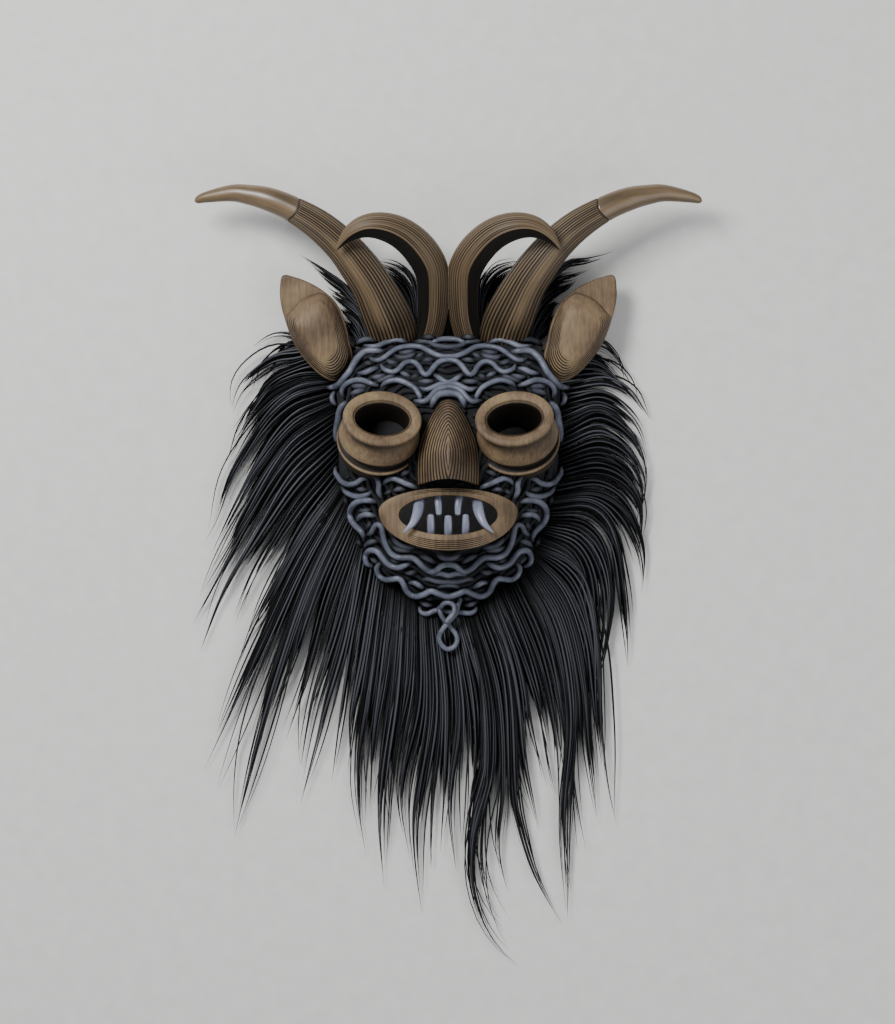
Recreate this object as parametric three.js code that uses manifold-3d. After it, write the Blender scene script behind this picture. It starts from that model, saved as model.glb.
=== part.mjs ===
// A horned mask lying on its back: +X to the right, seen from above with the horns at the top,
// +Y toward the horns, +Z out of the face. The rim of the face shell lies on z = 0. Millimetres.
import * as THREE from 'three';
import { mergeVertices } from 'three/addons/utils/BufferGeometryUtils.js';
import Module from 'manifold-3d';

const wasm = await Module();
wasm.setup();

// Driving dimensions. Places on the face are given as (across, down): across from the middle line,
// negative to the left, and down from the top of the cord area.
const TOP_Y = 243.9;            // y of the top of the cord area
const GAP = 0.3;                // clearance between two touching pieces
const WALL = 6;                 // thickness of the face shell
const CORD = 5.6;               // width of a cord
const SKIN = 3.2;               // depth of the packed lower cords
const COVER = SKIN + GAP + CORD * 0.75;
const FACE_DEPTH = 97;          // rim to the highest part of the face
const FACE_CROWN = 118;         // how far down the face that highest part lies
const FACE_FALL = 0.0022;       // how fast the face falls away from it, per mm squared
const ROUNDNESS = 2.6;          // exponent of the face's cross section
const FACE_EDGE = 0.985;        // how far out toward the outline a cord may lie
const HAIR_BAND = 20;           // height of the band that the hair is sewn in
const FACE_SIDES = 24;
const FACE_ROWS = 5;
const ROOM = 1200;              // side of a block that cuts away all on one side of a plane

// Half widths of the cord area at some places down the face, from its top to the chin.
const FACE_OUTLINE = [[84, 0], [103, 11], [113, 27], [117.5, 49], [115, 84], [114, 135], [104, 163],
  [98, 186], [87, 210], [78, 232], [62, 250], [41, 265], [22, 277]];
const CHIN_DOWN = 283;
const FACE_CENTRE = 113;

const colours = {
  shell: new THREE.MeshStandardMaterial({ color: 0x15161a, roughness: 0.8, metalness: 0 }),
  cord: new THREE.MeshStandardMaterial({ color: 0x767b8a, roughness: 0.75, metalness: 0 }),
  wood: new THREE.MeshStandardMaterial({ color: 0x84745b, roughness: 0.6, metalness: 0 }),
  horn: new THREE.MeshStandardMaterial({ color: 0x7d6b50, roughness: 0.5, metalness: 0 }),
  tooth: new THREE.MeshStandardMaterial({ color: 0x8a8fa3, roughness: 0.45, metalness: 0 }),
  hair: new THREE.MeshStandardMaterial({ color: 0x101114, roughness: 0.6, metalness: 0 }),
};

const mask = new THREE.Group();

// Solids

function solid(geometry) {
  const bare = geometry.index ? geometry.toNonIndexed() : geometry.clone();
  bare.deleteAttribute('normal');
  bare.deleteAttribute('uv');
  const merged = mergeVertices(bare, 1e-4);
  const flat = new Uint32Array(merged.index.array);
  const places = new Float32Array(merged.attributes.position.array);
  const corner = (index) => new THREE.Vector3().fromArray(places, index * 3);
  const faces = [];
  let volume = 0;
  for (let i = 0; i < flat.length; i += 3) {
    const [a, b, c] = [flat[i], flat[i + 1], flat[i + 2]];
    if (a !== b && b !== c && c !== a) {
      faces.push([a, b, c]);
      volume += corner(a).dot(corner(b).cross(corner(c)));
    }
  }
  const outward = volume > 0 ? faces : faces.map(([a, b, c]) => [a, c, b]);
  return new wasm.Manifold(new wasm.Mesh({
    numProp: 3, vertProperties: places, triVerts: new Uint32Array(outward.flat()),
  }));
}

function geometryOf(manifold) {
  const mesh = manifold.getMesh();
  const geometry = new THREE.BufferGeometry();
  geometry.setAttribute('position', new THREE.BufferAttribute(new Float32Array(mesh.vertProperties), 3));
  geometry.setIndex(new THREE.BufferAttribute(new Uint32Array(mesh.triVerts), 1));
  return geometry;
}

// Keeps a solid's largest shell only, without loose crumbs and closed bubbles.
function largestShell(manifold) {
  const mesh = manifold.getMesh();
  const group = Array.from({ length: mesh.vertProperties.length / 3 }, (_, i) => i);
  const find = (i) => {
    let top = i;
    while (group[top] !== top) {
      group[top] = group[group[top]];
      top = group[top];
    }
    return top;
  };
  for (let i = 0; i < mesh.triVerts.length; i += 3) {
    const top = find(mesh.triVerts[i]);
    group[find(mesh.triVerts[i + 1])] = top;
    group[find(mesh.triVerts[i + 2])] = top;
  }
  const shells = new Map();
  for (let i = 0; i < mesh.triVerts.length; i += 3) {
    const top = find(mesh.triVerts[i]);
    shells.set(top, [...(shells.get(top) ?? []), ...mesh.triVerts.slice(i, i + 3)]);
  }
  const whole = [...shells.values()].map((triVerts) => new wasm.Manifold(new wasm.Mesh({
    numProp: 3, vertProperties: mesh.vertProperties, triVerts: new Uint32Array(triVerts),
  })));
  return whole.sort((a, b) => b.volume() - a.volume())[0];
}

function joined(manifolds) {
  return manifolds.reduce((whole, next) => whole.add(next));
}

function flipped(manifold) {
  return manifold.mirror([1, 0, 0]);
}

function addPiece(name, manifold, material, coarseness = 0.05) {
  const shape = largestShell(largestShell(manifold).simplify(coarseness));
  const mesh = new THREE.Mesh(geometryOf(shape), material);
  mesh.name = name;
  mask.add(mesh);
}

// Moves every vertex of a geometry to the place that a function gives for it.
function reshape(geometry, place) {
  const spots = geometry.attributes.position;
  const spot = new THREE.Vector3();
  for (let i = 0; i < spots.count; i += 1) {
    spot.fromBufferAttribute(spots, i);
    const moved = place(spot);
    spots.setXYZ(i, moved.x, moved.y, moved.z);
  }
  return geometry;
}

// Bends a straight round bar along a curve. size(t) gives its half width across the face and its
// half depth at t, and the section's own x axis stays level with the floor.
function bentBar(curve, sides, steps, size) {
  const frames = [];
  for (let i = 0; i <= steps; i += 1) {
    const along = curve.getTangent(i / steps);
    const level = new THREE.Vector3(-along.y, along.x, 0).normalize();
    frames.push({ at: curve.getPoint(i / steps), level, lift: along.clone().cross(level) });
  }
  const bar = new THREE.CylinderGeometry(1, 1, steps, sides, steps);
  return solid(reshape(bar, (spot) => {
    const step = Math.round(spot.y + steps / 2);
    const { at, level, lift } = frames[step];
    const [wide, deep] = size(step / steps);
    return at.clone().addScaledVector(level, spot.x * wide).addScaledVector(lift, spot.z * deep);
  }));
}

// The face

function ringOf(points, count) {
  const curve = new THREE.CatmullRomCurve3(points, true, 'centripetal');
  const ring = [];
  for (let i = 0; i < count; i += 1) {
    ring.push(curve.getPointAt(i / count));
  }
  return ring;
}

function faceRing(inset) {
  const halves = [[0, -4], [58, -3], ...FACE_OUTLINE];
  const left = halves.map(([half, down]) => new THREE.Vector3(-half, TOP_Y - down, 0));
  const right = halves.slice(1).map(([half, down]) => new THREE.Vector3(half, TOP_Y - down, 0));
  const chin = new THREE.Vector3(0, TOP_Y - CHIN_DOWN, 0);
  const ring = ringOf([...left, chin, ...right.reverse()], FACE_SIDES);
  return ring.map((spot, i) => {
    const next = ring[(i + 1) % FACE_SIDES];
    const last = ring[(i + FACE_SIDES - 1) % FACE_SIDES];
    const along = next.clone().sub(last).normalize();
    return new THREE.Vector3(spot.x - along.y * inset, spot.y + along.x * inset, 0);
  });
}

// Height of the face above the rim along its middle line.
function crownHeight(y) {
  const off = TOP_Y - y - FACE_CROWN;
  return FACE_DEPTH - FACE_FALL * off * off;
}

// A domed body with the face's outline drawn in by inset, and its front as far lower.
function dome(inset, floor = 0) {
  const ring = faceRing(inset);
  const profile = [new THREE.Vector2(0, floor), new THREE.Vector2(1, floor)];
  for (let i = floor === 0 ? 1 : 0; i <= FACE_ROWS; i += 1) {
    const turn = (i / FACE_ROWS) * Math.PI / 2;
    const out = i === FACE_ROWS ? 0 : Math.cos(turn) ** (2 / ROUNDNESS);
    profile.push(new THREE.Vector2(out, Math.sin(turn) ** (2 / ROUNDNESS)));
  }
  const centre = new THREE.Vector3(0, TOP_Y - FACE_CENTRE, 0);
  const body = new THREE.LatheGeometry(profile, FACE_SIDES);
  return solid(reshape(body, (spot) => {
    const out = Math.hypot(spot.x, spot.z);
    const turn = Math.atan2(spot.x, spot.z) / (2 * Math.PI);
    const side = (Math.round(turn * FACE_SIDES) + FACE_SIDES) % FACE_SIDES;
    const place = ring[side].clone().sub(centre).multiplyScalar(out).add(centre);
    place.z = spot.y > 0 ? spot.y * (crownHeight(place.y) - inset) : spot.y * 10;
    return place;
  }));
}

const shellOuter = dome(COVER);
const netOuter = dome(COVER - GAP - SKIN);
const seat = dome(COVER - GAP, -1);
const netSeat = dome(COVER - 2 * GAP - SKIN, -1);

const rays = faceRing(COVER - GAP - SKIN)
  .map((spot) => spot.sub(new THREE.Vector3(0, TOP_Y - FACE_CENTRE, 0)));

// The place on the packed cords above a place on the floor, drawn in where that lies off the face.
function onFace(x, y, lift) {
  const arm = new THREE.Vector3(x, y - (TOP_Y - FACE_CENTRE), 0);
  let out = 0;
  for (let i = 0; i < rays.length; i += 1) {
    const a = rays[i];
    const b = rays[(i + 1) % rays.length];
    const area = a.x * b.y - a.y * b.x;
    const u = (arm.x * b.y - arm.y * b.x) / area;
    const v = (a.x * arm.y - a.y * arm.x) / area;
    out = u >= -1e-6 && v >= -1e-6 ? u + v : out;
  }
  const kept = Math.min(out, FACE_EDGE);
  arm.multiplyScalar(kept / Math.max(out, 1e-6));
  arm.y += TOP_Y - FACE_CENTRE;
  const height = crownHeight(arm.y) - COVER + GAP + SKIN;
  arm.z = height * (1 - kept ** ROUNDNESS) ** (1 / ROUNDNESS) + lift;
  return arm;
}

function box(width, length, height, x, y, z) {
  return solid(new THREE.BoxGeometry(width, length, height).translate(x, y, z));
}

// All that lies below a height.
function below(height) {
  return box(ROOM, ROOM, ROOM, 0, 0, height - ROOM / 2);
}

// Horns. Each row is a place (across, down, z), and the width and depth there.

const OUTER_HORN = [[-51, 9, 14, 46, 23], [-56, -8, 25, 49, 31], [-64, -27, 38, 48, 38],
  [-76.6, -52, 50, 42, 38.5], [-90.6, -72.5, 57, 39, 36.7], [-106.8, -92, 60, 35, 32.9],
  [-129.8, -112.1, 61, 31, 29.1], [-157.1, -128.5, 60, 26, 24.4], [-179.4, -137.8, 58, 24, 22.6],
  [-198.3, -142.3, 55, 20.5, 19.3], [-216.8, -144.3, 52, 17, 16], [-243.5, -140.3, 47, 11, 10.3],
  [-254.3, -136.3, 45, 6, 5.6]];
const TIP_STARTS = 0.563;       // share of the rows where the tip's round end lies
const TIP_ROUND = 20;           // radius of that end, seen from above
const INNER_HORN = [[-19.5, 9, 18, 27, 17], [-17, -14, 30, 28.6, 23], [-16, -37, 42, 30.5, 27],
  [-18.3, -67, 59, 34, 32], [-26.3, -83.5, 71, 35, 32.9], [-39.3, -98, 80, 33, 31],
  [-54, -106.5, 87, 30.7, 28.9], [-71.3, -110.5, 91, 26.7, 25.1], [-86, -109, 92, 22, 20.7],
  [-96.8, -103.2, 91, 17, 16], [-104.9, -95.8, 89.5, 10, 9.4], [-111.7, -85.4, 88, 1.6, 1.5]];
const HORN_SIDES = 10;

function routeOf(rows) {
  return new THREE.CatmullRomCurve3(rows.map(([x, down, z]) => new THREE.Vector3(x, TOP_Y - down, z)),
    false, 'centripetal');
}

// A tapered rod through its rows, and grow larger all round.
function rod(rows, sides, grow = 0) {
  const steps = rows.length - 1;
  return bentBar(routeOf(rows), sides, steps, (t) => {
    const [, , , wide, deep] = rows[Math.round(t * steps)];
    return [wide / 2 + grow, deep / 2 + grow];
  });
}

// The space of the outer horn's smooth tip, whose round end sits in the hollowed end of the shaft.
function tipSpace(grow) {
  const route = routeOf(OUTER_HORN);
  const centre = route.getPoint(TIP_STARTS).addScaledVector(route.getTangent(TIP_STARTS), TIP_ROUND);
  const end = new THREE.SphereGeometry(TIP_ROUND + grow, 16, 8).scale(1, 1, 3);
  return solid(end.translate(centre.x, centre.y, centre.z))
    .add(box(ROOM, ROOM, ROOM, centre.x - ROOM / 2, centre.y, centre.z));
}

// Ears: a full bulb and a flat pointed tip

const EAR_OUTLINE = [[-166.5, -62.5], [-169.3, -48], [-168.3, -34], [-164.7, -20], [-159.4, -4],
  [-152.3, 10.5], [-141.5, 25], [-129.3, 37], [-116, 43.5], [-106, 40], [-99.9, 31.8], [-96, 18],
  [-99.5, 3.4], [-101.3, -7.4], [-106.7, -23.4], [-114.7, -37.7], [-127.3, -48.4], [-139.7, -55.6],
  [-154, -61]];
const EAR_BULB = [[-163.5, -19], [-158.4, -3], [-151.3, 10.5], [-141, 24], [-129.3, 35], [-116, 41.5],
  [-107, 38], [-101, 30], [-98, 18], [-101.3, 3], [-103, -7], [-108.5, -23], [-116, -36], [-126, -44.5],
  [-136, -43.4], [-148, -37.6], [-157, -28]];
const EAR_BACK = 27;            // z of an ear's flat back
const EAR_PLATE = 7;            // thickness of its leaf
const EAR_BEVEL = 1.5;
const EAR_BULGE = 21;           // how far the bulb stands out of the leaf
const EAR_SUNK = 2;             // and how deep its foot lies in it
const EAR_SIDES = 16;
// The bulb's section: shares of its outline and of its height.
const EAR_SECTION = [[0, 0], [1, 0], [0.95, 0.35], [0.76, 0.72], [0.42, 0.94], [0, 1]];

function earPoints(pairs) {
  return pairs.map(([x, down]) => new THREE.Vector3(x, TOP_Y - down, 0));
}

function ear(grow) {
  const outline = new THREE.Shape(earPoints(EAR_OUTLINE).map((spot) => new THREE.Vector2(spot.x, spot.y)));
  const leaf = new THREE.ExtrudeGeometry(outline, {
    depth: EAR_PLATE - 2 * EAR_BEVEL + 2 * grow, bevelThickness: EAR_BEVEL, bevelSize: EAR_BEVEL,
    bevelOffset: grow - EAR_BEVEL, bevelSegments: 1,
  }).translate(0, 0, EAR_BACK + EAR_BEVEL - grow);
  const ring = ringOf(earPoints(EAR_BULB), EAR_SIDES);
  const centre = ring.reduce((sum, spot) => sum.add(spot), new THREE.Vector3()).divideScalar(EAR_SIDES);
  const profile = EAR_SECTION.map(([out, up]) => new THREE.Vector2(out, up));
  const bulb = reshape(new THREE.LatheGeometry(profile, EAR_SIDES), (spot) => {
    const turn = Math.atan2(spot.x, spot.z) / (2 * Math.PI);
    const arm = ring[(Math.round(turn * EAR_SIDES) + EAR_SIDES) % EAR_SIDES].clone().sub(centre);
    const out = Math.hypot(spot.x, spot.z) * (1 + grow / arm.length());
    const place = arm.multiplyScalar(out).add(centre);
    place.z = EAR_BACK + EAR_PLATE - EAR_SUNK + spot.y * (EAR_BULGE + grow);
    return place;
  });
  return solid(leaf).add(solid(bulb)).subtract(netSeat);
}

// Eye spools: turned, elliptical and tilted up

const SPOOL_FRONT = new THREE.Vector3(-65.3, TOP_Y - 81.6, 118);
const SPOOL_AXIS = new THREE.Vector3(-0.105, -0.493, -0.863).normalize();
// Rows of a spool: how far down its axis, and the half width and half height there.
const SPOOL_PROFILE = [[0, 38, 30.5], [2, 39.2, 31.5], [4.6, 39.2, 31.5], [8, 34, 26.5], [14, 32.5, 24.5],
  [24, 35.5, 29], [34, 40.5, 36], [37, 39.3, 34], [39.5, 42.2, 38.2], [44, 42.5, 39], [46, 40.5, 37],
  [66, 40.5, 37]];
const EYE_BORE = [26.5, 17.8];  // its half width and half height
const SPOOL_SIDES = 16;

function spoolBody(profile) {
  const points = profile.map(([along, wide]) => new THREE.Vector2(wide, along));
  const closed = [new THREE.Vector2(0, profile[0][0]), ...points,
    new THREE.Vector2(0, profile[profile.length - 1][0])];
  const across = new THREE.Vector3(1, 0, 0).cross(SPOOL_AXIS).normalize();
  const level = SPOOL_AXIS.clone().cross(across).normalize();
  return solid(reshape(new THREE.LatheGeometry(closed, SPOOL_SIDES), (spot) => {
    const row = profile.find(([along]) => Math.abs(along - spot.y) < 1e-6);
    return SPOOL_FRONT.clone()
      .addScaledVector(SPOOL_AXIS, row[0])
      .addScaledVector(level, spot.x)
      .addScaledVector(across, spot.z * row[2] / row[1]);
  }));
}

function eyeBore() {
  return spoolBody([[-5, ...EYE_BORE], [120, ...EYE_BORE]]);
}

// Nose: a pointed hood, open below

// Rows down the nose: how far down, its half width, and its height over the edges.
const NOSE_STATIONS = [[63.2, 2.5, 2], [66.9, 8.7, 10], [75.9, 15.8, 21], [90.1, 22.9, 33],
  [104.4, 28.3, 42], [118.7, 31, 47], [134, 31.6, 49], [148.2, 31.2, 47]];
const NOSE_WALL = 5;
const NOSE_SIDES = 10;
const NOSE_ARCH = 1.7;          // exponent of its cross section
const NOSE_SUNK = 6;            // how deep its edges reach into the cords
const NOSE_NOTCH = 6;           // how far its lower edge rises in the middle
const NOSE_UNDER = 70;          // a height that lies inside the face

// The nose's outside, drawn in by inset and lengthened by longer at its lower end.
function hood(inset, longer) {
  const rows = NOSE_STATIONS.length - 1;
  return solid(reshape(new THREE.CylinderGeometry(1, 1, rows, NOSE_SIDES, rows), (spot) => {
    const row = rows - Math.round(spot.y + rows / 2);
    const [down, wide, high] = NOSE_STATIONS[row];
    const place = new THREE.Vector3(-spot.x * Math.max(wide - inset, 0.6), TOP_Y - down, 0);
    const arch = crownHeight(place.y) - NOSE_SUNK + (high - inset) * (1 - Math.abs(spot.x) ** NOSE_ARCH);
    place.z = spot.z < -1e-6 ? NOSE_UNDER : arch;
    place.y -= row === rows ? longer - NOSE_NOTCH * (1 - Math.abs(spot.x)) : 0;
    place.y += row === 0 ? Math.max(-inset, 0) : 0;
    return place;
  }));
}

// Mouth ring and teeth

const MOUTH = { down: 174, half: 69.3, above: 23, below: 39.3 };
const MOUTH_HOLE = { down: 178, half: 48.8, rise: 19.5 };
const MOUTH_FRONT = 107;        // z of its front in the middle
const MOUTH_DEPTH = 62;
const MOUTH_BEND = 0.0027;      // how fast it curves back to the sides, per mm squared
const MOUTH_SIDES = 26;
const BORE_SIDES = 24;

function mouthEdge(turn) {
  const rise = Math.sin(turn) > 0 ? MOUTH.above : MOUTH.below;
  return new THREE.Vector3(MOUTH.half * Math.cos(turn), TOP_Y - MOUTH.down + rise * Math.sin(turn), 0);
}

function mouthHole(turn, grow) {
  return new THREE.Vector3((MOUTH_HOLE.half + grow) * Math.cos(turn),
    TOP_Y - MOUTH_HOLE.down + (MOUTH_HOLE.rise + grow) * Math.sin(turn), 0);
}

function mouthRing(grow) {
  const section = [[-1, -1], [1, -1], [1, -0.1], [0.75, 0], [-0.75, 0], [-1, -0.1]];
  const profile = section.map(([out, up]) => new THREE.Vector2(3 + out, up));
  profile.push(profile[0].clone());
  return solid(reshape(new THREE.LatheGeometry(profile, MOUTH_SIDES), (spot) => {
    const out = Math.hypot(spot.x, spot.z) - 3;
    const turn = Math.atan2(spot.z, spot.x);
    const outward = new THREE.Vector3(Math.cos(turn), Math.sin(turn), 0);
    const outer = mouthEdge(turn).addScaledVector(outward, grow);
    const place = mouthHole(turn, -grow).lerp(outer, (out + 1) / 2);
    place.z = MOUTH_FRONT + grow + (MOUTH_DEPTH + 2 * grow) * spot.y - MOUTH_BEND * place.x * place.x;
    return place;
  }));
}

function mouthBore() {
  const bar = new THREE.CylinderGeometry(1, 1, 200, BORE_SIDES).rotateX(Math.PI / 2);
  return solid(bar.scale(MOUTH_HOLE.half, MOUTH_HOLE.rise, 1).translate(0, TOP_Y - MOUTH_HOLE.down, 60));
}

// Rows as on a horn.
const TEETH = {
  fang: [[-29, 162, 94, 11, 8.8], [-29.5, 170, 100, 10.6, 8.5], [-31.5, 178, 106, 9.4, 7.5],
    [-36, 187, 110.5, 6.6, 5.3], [-45, 195.8, 112, 1.6, 1.3]],
  incisor: [[-11.2, 158.4, 95, 7.6, 6.1], [-9.5, 169, 98, 6.2, 5], [-9.9, 178.4, 99, 4.2, 3.4]],
  lower_tooth: [[-17.2, 199, 94, 7.2, 5.8], [-17.4, 188, 97, 7.2, 5.8], [-17.4, 177, 98, 5.4, 4.3]],
};
const MIDDLE_TOOTH = [[0.1, 200, 94, 8, 6.4], [-0.1, 189, 97, 8, 6.4], [-0.1, 178, 98, 6, 4.8]];
const TOOTH_SIDES = 5;

// Cords. Each route is a list of places (across, down), drawn for the left half and mirrored.
const CORD_ROUTES = [
  [[-116, 50], [-108, 46], [-98.6, 33.3], [-90.7, 19.9], [-78, 12.8], [-62.3, 14.4]],
  [[-70.1, 23], [-57.5, 15.1], [-43.2, 8.8], [-27.4, 9.6], [-14.7, 16.7], [0, 19.3]],
  [[-67.7, 26.2], [-60.6, 34.1], [-49.5, 31.8], [-39.3, 24.6], [-29, 30.2], [-21.9, 38.1], [-14, 29.4],
    [0, 22.7]],
  [[-105, 61], [-103, 49], [-81.2, 45.2], [-64, 47], [-46.4, 44.4], [-33.7, 51.5], [-28.2, 61]],
  [[-107.3, 144], [-96.2, 158.3], [-80.4, 157.5], [-69, 147], [-55.9, 141.7], [-34.5, 150]],
  [[-70.1, 165.4], [-86.7, 163.4], [-97.8, 171.8], [-96.2, 186], [-85.9, 196.3], [-80, 207]],
  [[-82, 198.6], [-73.3, 189.1], [-66.9, 189.9], [-63.8, 204.2], [-55.9, 217.6], [-40.1, 220.4],
    [-30.6, 224.7], [-18.1, 234.7], [0, 227.6]],
  [[-74.9, 230.3], [-83.5, 220.8], [-76.4, 213.3], [-61.4, 226.3], [-48.8, 230.3], [-36.9, 225.1]],
  [[-67.1, 225], [-70.1, 238.3], [-45.6, 246.5], [-37.5, 258.7], [-18, 256], [0, 260.2]],
];
const CHIN_LOOP = [[7, 262, 26], [9.5, 269.9, 28], [7.4, 277.1, 30], [-4.8, 291.4, 32], [-8.9, 304.6, 31],
  [0.3, 312.8, 30], [8.9, 303.6, 29.5], [3.3, 292.4, 27], [-4, 283, 26], [-6.9, 270.4, 26], [0, 264, 24]];

const CORD_STEP = 30;
// A three-sided bar of this half width has about a round cord's section.
const CORD_BAR = CORD * 0.65;

function cord(places, flip) {
  const curve = new THREE.CatmullRomCurve3(
    places.map(([x, down]) => onFace(x * flip, TOP_Y - down, CORD * 0.15)), false, 'centripetal');
  const steps = Math.max(2, Math.round(curve.getLength() / CORD_STEP));
  return bentBar(curve, 3, steps, () => [CORD_BAR, CORD_BAR]);
}

function chinLoop(grow) {
  const places = CHIN_LOOP.map(([x, down, z]) => new THREE.Vector3(x, TOP_Y - down, z));
  return bentBar(new THREE.CatmullRomCurve3(places), 4, 16, () => [CORD / 2 + grow, CORD / 2 + grow]);
}

// Hair. A lock is a tapered blade: its root on the rim, its tip, how far its middle bows sideways,
// its width and its depth.
const HAIR = {
  hair_left: [
    [[-110, 14], [-194, 8], 10, 22, 16], [[-112, 22], [-206, 62], -8, 30, 18],
    [[-114, 46], [-221, 110], -24, 44, 20], [[-114, 76], [-243, 220], -56, 58, 26],
    [[-112, 104], [-252, 292], -48, 60, 26], [[-110, 132], [-210, 300], -24, 54, 24],
    [[-106, 156], [-246, 442], -8, 34, 22], [[-98, 178], [-214, 514], -24, 38, 24],
  ],
  hair_right: [
    [[110, 12], [176, 42], 8, 26, 16], [[112, 34], [206, 84], 22, 38, 18],
    [[113, 60], [188, 192], 58, 58, 26], [[113, 92], [198, 254], 54, 60, 26],
    [[111, 122], [181, 338], 56, 56, 24], [[106, 152], [172, 500], 46, 46, 24],
    [[98, 180], [152, 396], 54, 44, 22],
  ],
  beard: [
    [[-88, 198], [-181, 392], -6, 44, 22], [[-80, 214], [-148, 474], 4, 46, 24],
    [[-70, 230], [-112, 458], 6, 46, 24], [[-58, 242], [-80, 530], -8, 48, 24],
    [[-44, 254], [-65, 562], 8, 42, 24], [[-26, 266], [-38, 540], 6, 48, 24],
    [[-8, 272], [-25, 588], -10, 46, 24], [[10, 272], [8, 544], 6, 46, 24],
    [[26, 266], [80, 640], -34, 40, 24], [[42, 256], [120, 598], -18, 44, 24],
    [[56, 244], [63, 566], -8, 40, 22], [[70, 230], [121, 610], 24, 44, 22],
    [[86, 208], [128, 474], 34, 46, 20],
  ],
  crown_hair_left: [
    [[-86, 8], [-154, -95], -14, 26, 18], [[-64, 4], [-34, -84], 14, 44, 20],
    [[-44, 2], [-66, -72], 6, 36, 16],
  ],
  crown_hair_right: [
    [[86, 8], [174, -98], 22, 24, 18], [[64, 4], [34, -84], -14, 44, 20],
    [[44, 2], [66, -72], -6, 36, 16],
  ],
};
const LOCK_ROOT_Z = 14;
const LOCK_TIP_Z = 3;

// A lock bows most at its crest, a third of the way along, and thins toward its tip.
function lock([root, tip, bow, wide, deep], grow) {
  const start = new THREE.Vector3(root[0], TOP_Y - root[1], LOCK_ROOT_Z);
  const end = new THREE.Vector3(tip[0], TOP_Y - tip[1], LOCK_TIP_Z);
  const run = end.clone().sub(start);
  const side = new THREE.Vector3(-run.y, run.x, 0).normalize();
  const bent = (t, share) => start.clone().addScaledVector(run, t).addScaledVector(side, -bow * share);
  const crest = bent(0.3, 1);
  crest.z = deep * 0.62;
  const fall = bent(0.7, 0.75);
  fall.z = deep * 0.45;
  const curve = new THREE.CatmullRomCurve3([start, crest, fall, end]);
  const swell = (t) => Math.min(1, 0.75 + 1.2 * t) * Math.max(0.05, 1 - t ** 2.2);
  return bentBar(curve, 4, 4, (t) => [wide / 2 * swell(t) + grow,
    deep / 2 * Math.max(0.16, 1 - t * 0.9) + grow]);
}

function hairGroup(locks, grow) {
  return joined(locks.map((row) => lock(row, grow)));
}

function build() {
  const spool = spoolBody(SPOOL_PROFILE);
  const spoolGrown = spoolBody(SPOOL_PROFILE.map(([along, ...halves]) => (
    [along, ...halves.map((half) => half + 2 * GAP)])));
  const eyeCut = eyeBore();
  const mouthCut = mouthBore();
  const shell = shellOuter.subtract(dome(COVER + WALL, -1))
    .subtract(eyeCut).subtract(flipped(eyeCut)).subtract(mouthCut);
  addPiece('face_shell', shell, colours.shell, 0.02);

  const spoolLeft = spool.subtract(seat).subtract(eyeCut);
  addPiece('eye_spool_left', spoolLeft, colours.wood);
  addPiece('eye_spool_right', flipped(spoolLeft), colours.wood);

  const ringGrown = mouthRing(2 * GAP);
  addPiece('mouth_ring', mouthRing(0).subtract(seat), colours.wood);

  const nose = hood(0, 0).subtract(hood(NOSE_WALL, 30)).subtract(seat)
    .subtract(spoolGrown).subtract(flipped(spoolGrown)).subtract(ringGrown);
  addPiece('nose', nose, colours.wood);

  const outer = rod(OUTER_HORN, HORN_SIDES).subtract(netSeat);
  const tip = outer.intersect(tipSpace(0));
  const rightHalf = box(ROOM, ROOM, ROOM, (ROOM - GAP) / 2, 0, 0);
  const inner = rod(INNER_HORN, HORN_SIDES).subtract(netSeat).subtract(rightHalf);
  const innerGrown = rod(INNER_HORN, HORN_SIDES, GAP);
  const shaft = outer.subtract(tipSpace(GAP)).subtract(innerGrown);
  const earLeft = ear(0).subtract(rod(OUTER_HORN, HORN_SIDES, GAP));
  [['left', (part) => part], ['right', flipped]].forEach(([side, place]) => {
    addPiece(`outer_horn_${side}`, place(shaft), colours.horn);
    addPiece(`outer_horn_tip_${side}`, place(tip), colours.horn);
    addPiece(`inner_horn_${side}`, place(inner), colours.horn);
    addPiece(`ear_${side}`, place(earLeft), colours.wood);
  });

  Object.entries(TEETH).forEach(([name, rows]) => {
    const tooth = rod(rows, TOOTH_SIDES).subtract(ringGrown);
    addPiece(`${name}_left`, tooth, colours.tooth);
    addPiece(`${name}_right`, flipped(tooth), colours.tooth);
  });
  addPiece('lower_tooth_middle', rod(MIDDLE_TOOTH, TOOTH_SIDES).subtract(ringGrown), colours.tooth);

  const hairBand = below(HAIR_BAND + GAP);
  const strands = CORD_ROUTES.flatMap((route) => [cord(route, 1), cord(route, -1)]);
  const holes = [hairBand, spoolGrown, flipped(spoolGrown), ringGrown, hood(-2 * GAP, 2 * GAP), mouthCut];
  const woven = joined([netOuter, ...strands]).subtract(seat);
  const face = holes.reduce((whole, hole) => whole.subtract(hole), woven);
  const net = [shaft, inner, earLeft].reduce((whole, part) => whole.subtract(part).subtract(flipped(part)),
    face.add(chinLoop(0)).subtract(seat));
  addPiece('cord_net', net, colours.cord, 0.12);

  const cordEdge = dome(-6).subtract(below(HAIR_BAND));
  const taken = [seat, below(GAP), cordEdge, chinLoop(3 * GAP)];
  [rod(OUTER_HORN, HORN_SIDES, 2 * GAP), innerGrown, ear(2 * GAP)].forEach((part) => {
    taken.push(part, flipped(part));
  });
  Object.entries(HAIR).forEach(([name, locks]) => {
    const group = taken.reduce((whole, part) => whole.subtract(part), hairGroup(locks, 0));
    addPiece(name, group, colours.hair, 0.3);
    taken.push(hairGroup(locks, 2 * GAP));
  });
}

build();

export default mask;
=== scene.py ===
"""A horned mask lying on its back, seen from above: cord face, carved wood, horns and long hair."""
import math

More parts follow.
